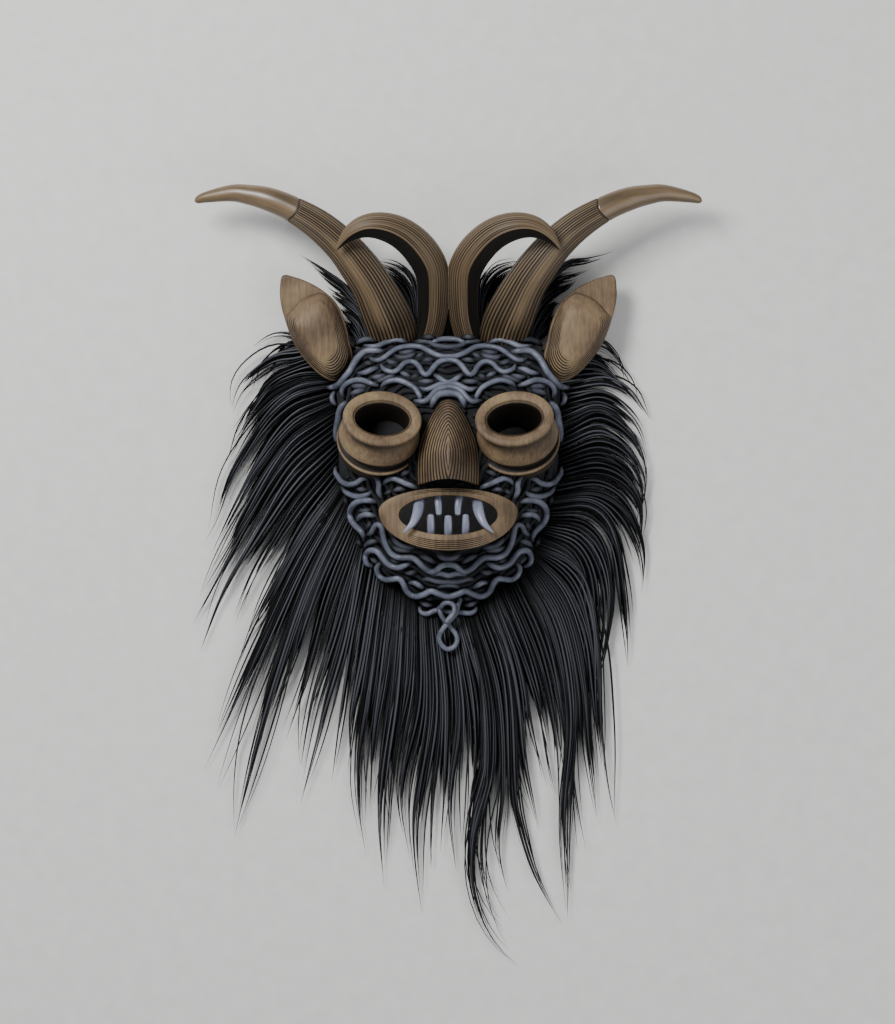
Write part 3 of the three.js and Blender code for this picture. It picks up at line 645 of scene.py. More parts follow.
def eye_spool(side, flip):
    """A turned spool of lime wood, tilted upward: a flat ring, a waist and a flange on the cords."""
    section = np.array(SPOOL_SECTION)
    rows = 220
    run = run_along(section)

    def place(around, along):
        turn = around * TURN
        # The last row meets the first under the flange, so the spool closes on itself.
        step = np.minimum(along * rows / (rows - 1), 1)
        back = along > 1 - 0.5 / rows
        down, wide, high = [np.where(back, column[0], np.interp(step * run[-1], run, column))
                            for column in section.T]
        outside = wide > SPOOL_OUTSIDE
        turned = way(down, 6, 8) * way(down, 22, 13) * outside
        foot = spool_foot(wide, high, turn)
        # The flange thins out where the cords rise to it beside the nose.
        in_flange = outside & (down > FLANGE[0]) & (down < FLANGE[1])
        keep = np.where(in_flange, way(foot, *FLANGE_THINS), 1)
        wide = SPOOL_NECK[0] + (wide - SPOOL_NECK[0]) * keep
        high = SPOOL_NECK[1] + (high - SPOOL_NECK[1]) * keep
        sunk = np.minimum(down, np.maximum(foot - 0.2, SPOOL_WHOLE))
        spots = spool_spot(sunk, wide * np.cos(turn), high * np.sin(turn))
        # Painted shade in the grooves, in the waist under the ring, under the flange and down the bore.
        groove = way(down, 35.3, 35.8) * way(down, 43.7, 43.45) + bell(down, 2.7, 0.35)
        neck = 0.95 * bell(down, 11.5, 4.2) + 0.9 * way(down, 47, 49)
        bore = bell(wide, 28.8, 0.5) * (down > 1.8) + (wide < 28) * np.maximum(way(down, 1.4, 2.9), 0.5)
        shade = np.clip((groove + neck) * outside + bore, 0, 1)
        # The turned lines, bumped and inked, are stronger toward the sides, as painted shade.
        return spots, step * run[-1], shade, down / SPOOL_LINE, turned * (0.4 + 0.6 * np.cos(turn) ** 2)

    spool = rolled_grid(f"turned_spool_{side}", 128, rows, place, ["wood"], flip=flip)
    fit_out(spool, "wood", f"eye_spool_{side}")


# Mouth ring and teeth

MOUTH = {"down": 174, "half": 69.3, "above": 23, "below": 39.3}
MOUTH_HOLE = {"down": 178, "half": 48.8, "rise": 19.5}
MOUTH_FRONT = 107
MOUTH_BEND = 0.0027
LIP_SWELL = 1.2                # how far the lips swell between their edges
LIP_LINE = 1.9                 # space between two carved lines
LIP_LINES_HALF = 38            # how far the lines reach to each side
LIGHT_CUT = 0.25               # depth of the lines in lips and ears
# Round the lips' section: the share of the way round, out from the hole, and up from the foot.
LIP_SECTION = [(0, 0, 0), (0.13, 0, 0.96), (0.17, 0.035, 1), (0.8, 0.965, 1), (0.84, 1, 0.96),
               (0.97, 1, 0), (1, 0, 0)]


def mouth_ring():
    """The lips, carved from one board: lines follow them above and below the middle."""
    knots, outs, ups = zip(*LIP_SECTION)

    def place(around, along):
        turn = around * TURN
        out, up = np.interp(along, knots, outs), np.interp(along, knots, ups)
        rise = np.where(np.sin(turn) > 0, MOUTH["above"], MOUTH["below"]) * np.sin(turn)
        inner = np.stack([MOUTH_HOLE["half"] * np.cos(turn),
                          TOP_Y - MOUTH_HOLE["down"] + MOUTH_HOLE["rise"] * np.sin(turn)])
        outer = np.stack([MOUTH["half"] * np.cos(turn), TOP_Y - MOUTH["down"] + rise])
        x, y = inner + (outer - inner) * out
        top = MOUTH_FRONT - MOUTH_BEND * x ** 2 + LIP_SWELL * (1 - (2 * out - 1) ** 2)
        foot = shell_height(x, y) + GAP
        width = np.hypot(*(outer - inner))
        phase = (1 - out) * width / LIP_LINE
        inmost = np.where(rise > 0, 0.42, 0.3)
        near = (np.exp(-(x / LIP_LINES_HALF) ** 4) * np.clip((out - inmost) * 9, 0, 1)
                * (out < 0.975) * (up > 0.99))
        z = foot + up * (top - foot) - LIGHT_CUT * lines(phase) * near
        # Painted shade down the inside of the hole.
        bore = way(z, MOUTH_FRONT - 6, MOUTH_FRONT - 20) * (out < 0.01)
        return np.stack([x, y, z], axis=1), out * width, 0.9 * bore, phase, near

    fit_out(rolled_grid("carved_lips", 200, 130, place, ["wood"]), "wood", "mouth_ring")


# Each row holds a place (across, down, height), and the width and depth there.
TEETH = {
    "fang": [(-29, 162, 94, 11.4, 8.8), (-29.5, 170, 100, 11, 8.5), (-31.5, 178, 106, 9.8, 7.5),
             (-36, 187, 110.5, 6.8, 5.3), (-45, 195.8, 112, 1.2, 1.1)],
    "incisor": [(-11.2, 158.4, 95, 8.4, 6.1), (-9.7, 169, 98, 7, 5), (-9.4, 178.4, 99, 5.4, 3.6)],
    "lower_tooth": [(-17.2, 199, 94, 7.8, 5.8), (-17.4, 188, 97, 7.8, 5.8), (-17.4, 177, 98, 6.2, 4.4)],
    "lower_tooth_middle": [(0.1, 200, 94, 8.4, 6.4), (-0.1, 189, 97, 8.4, 6.4), (-0.1, 178, 98, 6.8, 4.8)],
}
TOOTH_END = 1.6                # length of its rounded end


def blunted(run, length, end):
    """Share of its thickness that a rod keeps along it, its last stretch rounded to a blunt end."""
    return np.sqrt(1 - np.clip((run - length + end) / end, 0, 0.98) ** 2)


def tooth(name, flip):
    """One tooth of filed bone, its tip rounded over."""
    route = floor_route(TEETH[name.removesuffix("_left").removesuffix("_right")], 60)
    rows = 40
    length = run_along(route)[-1]

    def place(around, along):
        share, whole = capped(along, rows)
        run = share * length
        turn = around * TURN
        size = whole * blunted(run, length, TOOTH_END)
        spots = round_rod(route, run, size * np.cos(turn), size * np.sin(turn))
        # Painted shade at the root, against the lips, and on the underside.
        root, side = np.exp(-run / 5), np.clip(0.55 - np.sin(turn), 0, 1)
        return spots, run, np.clip(0.9 * root + 0.8 * side, 0, 1)

    fit_out(rolled_grid(f"filed_{name}", 28, rows, place, ["tooth"], flip=flip), "tooth", name)


# Nose

# Down the nose: how far down, its half width, and its height over the face.
NOSE_STATIONS = [(63.2, 2.5, 2), (66.9, 8.7, 10), (75.9, 15.8, 21), (90.1, 22.9, 33), (104.4, 28.3, 42),
                 (118.7, 31, 47), (134, 31.6, 49), (148.2, 31.2, 47)]
NOSE_TOP, NOSE_FOOT = NOSE_STATIONS[0][0], NOSE_STATIONS[-1][0]
NOSE_ARCH = 6                  # how far up the edge at its foot is arched
NOSE_WALL = 5
NOSE_SUNK = 6                  # how deep it stands in the cords
NOSE_LINE = 2.5                # space between two carved lines
NOSE_CUT = 0.3                 # and their depth


def nose_lines(across, down, wide):
    """Counts the carved lines: nested inside the nose's outline, as arches above, as stripes beside the
    ridge, and drawn together at its foot."""
    drawn_in = 0.08 * np.clip(down - 115, 0, None) * (1 - np.abs(across)) ** 2
    beside = wide * (1 - np.abs(across)) / NOSE_LINE - drawn_in
    below = (down - NOSE_TOP) / (1.08 * NOSE_LINE)
    soft = 1.1
    return -np.log(np.exp(-beside / soft) + np.exp(-below / soft)) * soft + soft * math.log(2)


def nose():
    """A pointed hood, open below, with carved lines nested inside its outline."""
    rows = 160
    stations = smooth_path(NOSE_STATIONS, 200)

    def place(around, along):
        step = np.rint(along * rows)
        share = np.clip(step / (rows - 1), 0, 1)
        # Over the hood from side to side and back inside it. The last row closes its edge midway.
        lip = (step == rows) * 0.5
        inside = np.where(around > 0.5, 1 - lip, lip)
        inside = np.where(np.abs(around - 0.5) < 1e-6, 0.5, inside)
        across = np.where(around > 0.5, 3 - 4 * around, 4 * around - 1)
        inset = inside * NOSE_WALL
        down = NOSE_TOP + share * (NOSE_FOOT - NOSE_ARCH * (1 - across ** 2) - NOSE_TOP)
        wide, high = [np.interp(down, stations[:, 0], stations[:, k]) for k in (1, 2)]
        x = across * np.maximum(wide - inset, 0.4)
        y = TOP_Y - down
        ridge = bell(x, 0, 1.1) * way(down, 96, 102) * way(down, 134, 128)
        cut = (inside < 0.1) * (1 - ridge)
        phase = nose_lines(across, down, wide)
        arch = 1 - np.abs(across) ** 1.7
        z = crown_height(y) - NOSE_SUNK + (high - inset) * arch - NOSE_CUT * lines(phase) * cut
        z = np.maximum(z, shell_height(x, y) + GAP)
        # Painted shade on the inside of the hood.
        return np.stack([x, y, z], axis=1), down, 0.9 * (inside > 0.6), phase, cut

    fit_out(rolled_grid("carved_nose", 160, rows, place, ["wood"]), "wood", "nose")


# Horns

# As for the teeth, each row holds a place and the width and depth there.
OUTER_HORN = [(-51, 9, 14, 46, 23), (-56, -8, 25, 49, 31), (-64, -27, 38, 48, 38),
              (-76.6, -52, 50, 42, 38.5), (-90.6, -72.5, 57, 39, 36.7), (-106.8, -92, 60, 35, 32.9),
              (-129.8, -112.1, 61, 31, 29.1), (-157.1, -128.5, 60, 26, 24.4),
              (-179.4, -137.8, 58, 24, 22.6), (-198.3, -142.3, 55, 20.5, 19.3),
              (-216.8, -144.3, 52, 17, 16), (-243.5, -140.3, 47, 11, 10.3), (-254.3, -136.3, 45, 6, 5.6)]
INNER_HORN = [(-24.5, 9, 18, 27, 17), (-17, -14, 30, 28.6, 23), (-14.6, -37, 42, 30.5, 27),
              (-16.0, -65, 58, 34, 32), (-25.3, -83.5, 71, 35, 32.9), (-39.3, -98, 80, 33, 31),
              (-54, -106.5, 87, 30.7, 28.9), (-71.3, -110.5, 91, 26.7, 25.1), (-86, -109, 92, 22, 20.7),
              (-96.8, -103.2, 91, 17, 16), (-104.9, -95.8, 89.5, 10, 9.4), (-111.7, -85.4, 88, 1.4, 1.3)]
SEAM_X = -150.5                # where the middle of the seam lies
SEAM_BULGE = 5.4               # how far the seam's sides lie nearer the tip than its middle
SEAM_DARK = 1.4                # how far to each side of it the horn is dark and drawn in
SEAM_DRAWN_IN = 0.05           # share of the thickness by which it is
TIP_END = 4                    # length of the rounded end
OUTER_LINES = 15               # lines scraped along an outer horn, over its upper half
OUTER_CUT = 0.4                # and their depth
HORN_ROOT = SHELL_INSET + SHELL_WALL / 2    # where a horn's foot ends, inside the shell's wall


def outer_horn(side, flip):
    """The long ram horn, scraped into lines, with its bare tip set on at a curved seam."""
    route = floor_route(OUTER_HORN, 400)
    run_at = run_along(route)
    seam = run_at[np.argmin(np.abs(route[:, 0] - SEAM_X))]
    rows = 110

    def shaft_place(around, along):
        turn = (around - 0.25) * TURN
        across = np.cos(turn)
        share, whole = capped(along, rows)
        edge = seam + SEAM_BULGE * across ** 2
        run = share * edge
        near = way(run, edge - SEAM_DARK, edge)
        # A band along its upper side is left bare.
        bare = (bell(across, 0.42 - 0.1 * share, 0.3) * (np.sin(turn) > 0) * way(run, 26, 56)
                * np.maximum(way(run, seam - 14, seam - 54), 0.35))
        scraped = (1 - bare) * (1 - near)
        # Nearly even as seen from above, and a little closer together toward the sides.
        phase = OUTER_LINES * (0.3 * across + 0.2 * (1 - 2 * turn / math.pi))
        half = np.interp(run, run_at, route[:, 3]) / 2
        size = whole * (1 - SEAM_DRAWN_IN * near ** 2 - OUTER_CUT * lines(phase) * scraped / half)
        spots = round_rod(route, run, size * across, size * np.sin(turn))
        # Painted shade near the foot, on its side toward the middle; the dark at the seam is its joint.
        foot = 0.6 * way(run, 70, 0) * np.clip(0.3 - across, 0, 1)
        return pushed_out(spots, HORN_ROOT), run, np.maximum(foot, near), phase, scraped

    def tip_place(around, along):
        turn = (around - 0.25) * TURN
        across = np.cos(turn)
        share, whole = capped(along, rows)
        edge = seam + GAP + SEAM_BULGE * across ** 2
        run = edge + share * (run_at[-1] - edge)
        near = way(run, edge + SEAM_DARK, edge)
        size = whole * blunted(run, run_at[-1], TIP_END) * (1 - SEAM_DRAWN_IN * near ** 2)
        # Painted shade on its upper side, past the seam.
        upper = 0.4 * bell(run - edge, 14, 16) * bell(across, -0.45, 0.3) * (np.sin(turn) > 0)
        return round_rod(route, run, size * across, size * np.sin(turn)), run, np.maximum(near, upper)

    shaft = rolled_grid(f"scraped_horn_{side}", 320, rows, shaft_place, ["horn"], flip=flip)
    fit_out(shaft, "horn", f"outer_horn_{side}")
    tip = rolled_grid(f"polished_tip_{side}", 96, rows, tip_place, ["tip"], flip=flip)
    fit_out(tip, "horn_tip", f"outer_horn_tip_{side}")


INNER_RIDGE = 0.3              # where the ridge lies across an inner horn, from its middle to its curl
INNER_LINES = 10               # lines over its back
INNER_CUT = 0.3                # and their depth
INNER_END = 1.2                # length of its rounded end


def inner_horn(side, flip):
    """The curled horn: a rounded back with lines along it, and a hollow face inside the curl in painted
    shadow.
    """
    route = eased(floor_route(INNER_HORN, 400), 32)
    run_at = run_along(route)
    rows = 130
    ridge = math.acos(INNER_RIDGE)
    # Round the horn: from its underside up into the hollow, over the ridge, the back, and under again.
    turns = [-TURN / 4, 0, ridge, TURN / 2, TURN * 3 / 4]
    shares = [0, 0.12, 0.34, 0.88, 1]

    def place(around, along):
        turn = np.interp(around, shares, turns)
        share, whole = capped(along, rows)
        run = share * run_at[-1]
        across, up = np.cos(turn), np.sin(turn)
        hollow = (around > shares[1]) & (around < shares[2])
        up = np.where(hollow, math.sin(ridge) * (1 - way(across, INNER_RIDGE, 1)) ** 1.35, up)
        # Lines over the whole back low down, and along its middle and its ridge where it curls.
        low = np.clip(1.5 - 2.2 * share, 0, 1) * bell(across, -0.55, 0.62)
        high = bell(share, 0.66, 0.16) * (bell(across, -0.5, 0.3) + bell(across, 0.1, 0.14))
        cut = np.clip(low + high, 0, 1) * (around > shares[2] + 0.01) * (around < shares[3] + 0.06)
        phase = INNER_LINES * (0.6 * (INNER_RIDGE - across) / (1 + INNER_RIDGE)
                               + 0.4 * (turn - ridge) / (math.pi - ridge))
        half = np.interp(run, run_at, route[:, 3]) / 2
        size = whole * blunted(run, run_at[-1], INNER_END) * (1 - INNER_CUT * lines(phase) * cut / half)
        spots = pushed_out(round_rod(route, run, size * across, size * up), HORN_ROOT)
        spots[:, 0] = np.minimum(spots[:, 0], -GAP / 2)
        # Painted shade toward its foot.
        return spots, run, 0.5 * way(run, 50, 0), phase, cut

    # The hollow face inside the curl takes the painted shadow.
    def paint(around, along):
        return (around > shares[0] + 0.06) & (around < shares[2])

    horn = rolled_grid(f"curled_horn_{side}", 200, rows, place, ["horn", "painted_shadow"], paint, flip)
    fit_out(horn, "horn", f"inner_horn_{side}")


# Ears

EAR_OUTLINE = [(-166.5, -62.5), (-169.3, -48), (-168.3, -34), (-164.7, -20), (-159.4, -4),
               (-152.3, 10.5), (-141.5, 25), (-129.3, 37), (-116, 43.5), (-106, 40), (-99.9, 31.8),
               (-96, 18), (-99.5, 3.4), (-101.3, -7.4), (-106.7, -23.4), (-114.7, -37.7),
               (-127.3, -48.4), (-139.7, -55.6), (-154, -61)]
EAR_BULB = [(-163.5, -19), (-158.4, -3), (-151.3, 10.5), (-141, 24), (-129.3, 35), (-116, 41.5), (-107, 38),
            (-101, 30), (-98, 18), (-101.3, 3), (-103, -7), (-108.5, -23), (-116, -36), (-126, -44.5),
            (-136, -43.4), (-148, -37.6), (-157, -28)]
EAR_BACK = 27                  # height of the ear's back over the floor
EAR_PLATE = 7                  # thickness of the leaf
EAR_BULGE = 21                 # and how far the bulb stands over it
BULB_SUNK = 2                  # how deep the bulb starts in the leaf
EAR_LINES = 17                 # lines from the middle of the bulb to its edge
# The leaf's section, from the middle of its back round its edge to the middle of its front: the share
# of the way out, and the height over its back.
LEAF_SECTION = [(0, 0), (0.5, 0), (0.93, 0), (0.98, 0.6), (1, 2), (1, EAR_PLATE - 2),
                (0.985, EAR_PLATE - 0.6), (0.95, EAR_PLATE), (0.5, EAR_PLATE), (0, EAR_PLATE)]


def ear_layer(name, points, outs, heights, carve, flip):
    """A form with an ear's outline: outs and heights give its section from the back to the front."""
    count = 144
    ring = floor_route(points, count, closed=True)
    middle = ring.mean(axis=0)
    spread = np.linspace(0, 1, len(outs))

    def place(around, along):
        side = np.rint(around * count).astype(int) % count
        out = np.interp(along, spread, outs)
        height = np.interp(along, spread, heights)
        flat = middle + (ring[side] - middle) * out[:, None]
        phase, cut, shade = carve(flat, out, along)
        places = np.hstack([flat, (height - LIGHT_CUT * lines(phase) * cut)[:, None]])
        return places, out * 60, shade, phase, cut

    return rolled_grid(name, count, 110, place, ["wood"], flip=flip)


def ear(side, flip):
    """An ear of lime wood: a thin pointed leaf with a full bulb on it, lines curving round the bulb."""
    def plain(flat, out, along):
        # Painted shade along the leaf's rim.
        return 0 * out, 0 * out, np.clip((out - 0.96) * 12, 0, 0.5)

    def carved(flat, out, along):
        rise = flat[:, 1] - TOP_Y
        # The lines reach further in from the edge toward the ear's foot.
        inner_side = np.clip((out - np.interp(rise, [-45, 0, 35], [0.42, 0.56, 0.64])) * 12, 0, 1)
        inner_side = inner_side * np.clip((flat[:, 0] - np.interp(rise, [-45, 45], [-126, -116])) / 8, 0, 1)
        lower_left = bell(flat[:, 0], np.interp(rise, [-30, 22], [-136, -162]), 14)
        lower_left = lower_left * np.clip((out - 0.66) * 12, 0, 1) * np.minimum(way(rise, 24, 14), 0.9)
        cut = np.clip(inner_side + lower_left, 0, 1) * (along > 0.12) * (out < 0.985)
        # Painted shade round the bulb's foot, where it sits on the leaf.
        return out * EAR_LINES, cut, np.clip((out - 0.975) * 50, 0, 1)

    outs, heights = np.array(LEAF_SECTION, float).T
    leaf = ear_layer(f"ear_leaf_{side}", EAR_OUTLINE, outs, EAR_BACK + heights, plain, flip)
    rise = np.linspace(0, math.pi / 2, 40)
    foot = EAR_BACK + EAR_PLATE - BULB_SUNK
    outs = np.concatenate([[0, 0.5, 1], np.cos(rise) ** 0.8])
    heights = np.concatenate([[foot] * 3, foot + EAR_BULGE * np.sin(rise) ** 0.9])
    bulb = ear_layer(f"ear_bulb_{side}", EAR_BULB, outs, heights, carved, flip)
    bulb.select_set(True)
    leaf.select_set(True)
    bpy.context.view_layer.objects.active = leaf
    bpy.ops.object.join()
    leaf.select_set(False)
    leaf.name = f"carved_ear_{side}"
    fit_out(leaf, "wood", f"ear_{side}")


# Cords

# Layer, width, and places (across, down). A cord that ends left of the middle line is laid on the
# right too, one that ends on the line runs on to the right, and one that crosses it is laid as it is.
CORD_ROUTES = [
    # Temples and the waves over the forehead.
    (2, 6.6, [(-122.5, 49.5), (-117.5, 49.5), (-110.5, 47.5), (-104, 40.5), (-98.5, 33.5), (-94.5, 26),
        (-90.5, 20), (-84.5, 14.5), (-78, 13), (-71, 13.5), (-62.5, 14.5)]),
    (2, 5.4, [(-79.5, 20), (-75, 22.5), (-70, 23), (-64, 20), (-57.5, 15), (-51, 11), (-43, 9),
        (-35.5, 8.5), (-27.5, 9.5), (-21, 13), (-14.5, 16.5), (-7.5, 19), (0, 19.5)]),
    (2, 5.4, [(-67.5, 26), (-65.5, 31), (-60.5, 34), (-55, 35), (-49.5, 32), (-45, 27), (-39.5, 24.5),
        (-33.5, 25.5), (-29, 30), (-26, 35.5), (-22, 38), (-18, 35), (-14, 29.5), (-8.5, 24.5), (0, 22.5)]),
    # Round the horns' feet, and the crown.
    (1, 5.4, [(-94.5, 8), (-90.5, 4), (-84.5, 1.5), (-78, 1.5), (-71.5, 4)]),
    (2, 5.4, [(-85, 7), (-78, 9), (-71, 8.5), (-64.5, 5.5), (-57.5, 3), (-51, 2), (-45, 3.5), (-40, 5)]),
    (2, 5.4, [(-19.5, 9), (-15.5, 5), (-10, 2), (0, 1)]),
    (1, 5.4, [(-35.5, 4), (-27.5, 3.5), (-18.5, 4.5), (-12.5, 8), (0, 9.5)]),
    (1, 5.4, [(-27.5, 0), (-19.5, -1), (-12.5, 0)]),
    # The forehead, between and under the waves.
    (1, 5.4, [(-52, 14.5), (-44.5, 15.5), (-31.5, 13)]),
    (1, 5.4, [(-56, 17.5), (-47, 20.5), (-38.5, 19), (-30.5, 15)]),
    (1, 5.4, [(-34.5, 22.5), (-29, 18.5), (-22.5, 15)]),
    (1, 5.4, [(-64, 21.5), (-56.5, 25.5), (-48, 26)]),
    (1, 5.4, [(-28, 26), (-22.5, 23), (-11.5, 22.5)]),
    (1, 5.4, [(-63, 28.5), (-59, 30.5), (-53.5, 30.5)]),
    (1, 5.4, [(-86, 27), (-79.5, 26), (-73.5, 27)]),
    (2, 5.4, [(-91.5, 36), (-83, 35.5), (-75, 32), (-68.5, 31)]),
    (1, 5.4, [(-79.5, 39), (-73.5, 40.5), (-65.5, 39), (-60, 37.5)]),
    (1, 5.4, [(-74, 44.5), (-67, 43.5), (-59, 40.5), (-51, 38)]),
    (2, 5.4, [(-49, 35), (-43, 37.5), (-37, 40.5)]),
    (1, 5.4, [(-39.5, 43.5), (-33.5, 39.5), (-27.5, 38)]),
    (1, 5.4, [(-33, 44.5), (-23.5, 45), (-11.5, 44.5)]),
    (2, 5.4, [(-30, 50.5), (-22.5, 53), (-14.5, 50.5), (-7.5, 47.5), (0, 47.5)]),
    (2, 5.4, [(-15.5, 37.5), (-10, 40.5), (-4.5, 44.5), (0, 46)]),
    # Round the eyes.
    (2, 5.4, [(-103.5, 61), (-106.5, 55.5), (-105.5, 50.5), (-101, 46), (-94.5, 43.5), (-87.5, 43),
        (-81, 45), (-75, 47.5), (-68.5, 49.5)]),
    (2, 5.4, [(-67.5, 51.5), (-64.5, 47.5), (-59, 44.5), (-52.5, 43.5), (-46.5, 44.5), (-39.5, 47.5),
        (-33.5, 51.5), (-30, 56.5), (-28, 61), (-29.5, 67)]),
    (1, 5.4, [(-100, 58), (-90.5, 54.5), (-79.5, 52.5)]),
    (1, 5.4, [(-99.5, 48.5), (-78, 50)]),
    (2, 5.4, [(-113.5, 53), (-117, 58.5), (-116, 64), (-112, 68)]),
    (2, 6.6, [(-100, 63.5), (-106.5, 69), (-109.5, 76), (-110.5, 83), (-112.5, 93), (-113, 105)]),
    # Over the nose.
    (2, 7, [(-17, 72), (-14.5, 63.5), (-9.5, 58), (0, 56.5)]),
    (2, 6, [(-34.5, 64), (-25, 65), (-19.5, 62), (-14.5, 56.5), (-10, 52.5), (0, 50)]),
    # Cheeks.
    (2, 5.4, [(-113.5, 129), (-113.5, 135.5), (-110.5, 140), (-106.5, 145), (-99.5, 147.5), (-92, 146),
        (-86, 142), (-79, 142)]),
    (2, 5.4, [(-107.5, 149), (-103.5, 154.5), (-96, 158.5), (-88.5, 159.5), (-80.5, 157.5), (-75, 153.5)]),
    (1, 5.4, [(-94, 149), (-88.5, 152), (-78, 153)]),
    (1, 5.4, [(-104, 141), (-95.5, 138.5)]),
    (2, 5.4, [(-75.5, 139.5), (-71, 142.5), (-69, 148), (-69.5, 153.5), (-67.5, 159), (-64.5, 162.5)]),
    (2, 5.4, [(-65.5, 149), (-62, 144), (-56, 141.5), (-49.5, 143.5), (-43, 146.5), (-34.5, 150),
        (-29.5, 153)]),
    (1, 5.4, [(-64.5, 157.5), (-59, 155), (-54.5, 150.5)]),
    (1, 5.4, [(-49.5, 140), (-43, 136), (-35.5, 134)]),
    (1, 5.4, [(-56.5, 155), (-48.5, 152), (-40.5, 154)]),
    # Jaw.
    (2, 6.2, [(-70, 165.5), (-78, 163.5), (-86.5, 163.5), (-93, 166), (-98, 172), (-98.5, 179.5),
        (-96, 186), (-90.5, 191.5), (-86, 196.5), (-84.5, 202), (-85, 205)]),
    (1, 5.4, [(-103.5, 157.5), (-103.5, 163), (-101, 168.5)]),
    (2, 5.4, [(-92, 185), (-88.5, 179.5), (-82, 177.5), (-75.5, 178.5), (-70.5, 179.5)]),
    (1, 5.4, [(-91.5, 172.5), (-83, 174), (-74.5, 171)]),
    (1, 5.4, [(-79, 180.5), (-78.5, 187), (-83, 193)]),
    (1, 5.4, [(-91.5, 200), (-90, 206), (-86.5, 209.5)]),
    (1, 5.4, [(-85, 213), (-82, 207.5), (-75.5, 204.5), (-67.5, 204)]),
    # Chin.
    (1, 5.4, [(-57.5, 198.5), (-52.5, 205), (-45, 209.5), (-31.5, 211)]),
    (1, 5.4, [(-58, 208), (-51, 212), (-43, 213), (-34.5, 214)]),
    (1, 5.4, [(-14, 215), (-7.5, 220), (0, 221.5)]),
    (1, 5.4, [(-31.5, 217.5), (-22, 221), (-11.5, 227)]),
    (1, 5.4, [(-81, 219), (-75, 223), (-68.5, 229)]),
    (1, 5.4, [(-60, 222.5), (-53.5, 224), (-48, 227)]),
    (2, 6, [(-82, 198.5), (-77, 195.5), (-73.5, 189), (-70, 187.5), (-67, 190), (-65.5, 196.5),
        (-64, 204), (-60.5, 212), (-56, 217.5), (-49, 220.5), (-40, 220.5), (-35.5, 221), (-30.5, 224.5),
        (-24, 231), (-18, 234.5), (-13, 234), (-7, 229), (0, 227.5)]),
    (2, 6, [(-75, 230.5), (-82, 227), (-83.5, 221), (-81, 215), (-76.5, 213.5), (-71, 215), (-66, 221),
        (-61.5, 226.5), (-55, 230), (-49, 230.5), (-42.5, 228), (-37, 225)]),
    (2, 6, [(-67, 225), (-72, 231), (-70, 238.5), (-64, 243), (-56, 242.5), (-49.5, 242), (-45.5, 246.5),
        (-42.5, 253.5), (-37.5, 258.5), (-31.5, 260), (-24, 257.5), (-17, 254.5), (-9, 257.5), (0, 260)]),
    (2, 5.4, [(-40.5, 246.5), (-34.5, 246), (-29.5, 248.5), (-24, 252)]),
    (1, 5.4, [(-13, 252), (-7, 249), (0, 248)]),
    (1, 5.4, [(-28.5, 244), (-21, 242), (-13, 244), (-5, 245), (0, 244.5)]),
    (2, 5.4, [(-18.5, 238.5), (-9, 236.5), (0, 238.5)]),
    (1, 5.4, [(-46.5, 234), (-38.5, 236), (-29.5, 233)]),
    (1, 5.4, [(-30.5, 264), (-23, 268), (-14, 269)]),
    (1, 5.4, [(-24.5, 262.5), (-13, 261.5)]),
    (2, 5.4, [(-29.5, 270), (-27.5, 276), (-21, 277.5), (-14, 274.5), (-7, 274), (2.5, 275.5),
        (12.5, 276), (21.5, 277), (27.5, 274), (28, 270)]),
]
# Across, down and height, from the chin to its end.
CHIN_CORD = [(12, 262, 24), (9.5, 269.9, 28), (7.4, 277.1, 31), (2.3, 283.2, 33), (-4.8, 291.4, 34),
             (-8.9, 298.5, 33), (-8.9, 304.6, 32), (-4.8, 310.8, 31), (0.3, 312.8, 30.5),
             (6.4, 309.7, 30), (8.9, 303.6, 29.5), (7.4, 297.5, 28.5), (3.3, 292.4, 27.5),
             (-2.8, 285.2, 26.5), (-6.9, 279, 26), (-9, 272, 25), (-6.9, 270.4, 28), (-4.8, 267.4, 31),
             (-0.2, 266, 33), (5.4, 268.9, 34.5), (5.9, 275, 36), (2.3, 280.1, 37.5), (-2.8, 286.3, 38.5)]
CHIN_CORD_HALF = 2.7           # half its thickness
CORD_SIDES = 12
CORD_STEP = 2.4                # length of one piece of a cord's mesh
CORD_FLOOR = 18                # height of the lowest cord's middle, over the hair
EDGE_LEAN = 6                  # how late toward the edge a lift turns from upward to outward
EDGE_LIFT = 0.25               # share of its lift that a cord keeps upward at the edge
EDGE_FALL = 0.25               # how fast a cord sinks past the edge
TUCK = 9                       # length of an end that dives under the others
TUCK_LIFT = 1.4                # how far off the shell it ends
TUCK_THINS = 0.45              # and the share of its thickness that it loses
CORD_RIPPLE = (0.5, 11)        # how far a cord rises and sinks along its way, and how slowly
CORD_SWELL = (0.94, 0.16)      # its thickness at the ends, and how much it gains midway
LASH_LIFT = 2.8                # how far over a horn's foot the middle of a cord lies that crosses it
LASH_MOST = 26                 # the most that a cord is lifted for that
LASH_EASE = 4                  # steps over which the lift is eased to each side
HORN_STEPS = 200
HORN_FOOT_STEPS = 70           # those near enough to a horn's foot for cords to cross it there
# How high each layer of cord lies over the shell, and how dark it is with painted shade.
LAYER_LIFT = {0: 2.2, 1: 5.2, 2: 8.4}
LAYER_SHADE = {0: 0.92, 1: 0.45, 2: 0.0}


def over_face(across, down, lift):
    """Places for a cord's middle right over places on the floor, lift off the shell."""
    rise = FACE_CENTRE - down
    edge = reach(np.arctan2(rise, across), SHELL_INSET)
    far = np.maximum(np.hypot(across, rise) / edge, 0.01)
    lean = np.minimum(far, FACE_EDGE) ** EDGE_LEAN
    nearer = np.minimum(far - lean * lift / edge, FACE_EDGE) / far
    z = shell_height(across * nearer, CENTRE_Y + rise * nearer)
    z += lift * (1 - (1 - EDGE_LIFT) * lean) - EDGE_FALL * np.maximum(far - FACE_EDGE, 0) * edge
    return np.stack([across, TOP_Y - down, np.maximum(z, CORD_FLOOR + EDGE_LIFT * lift)], axis=-1)


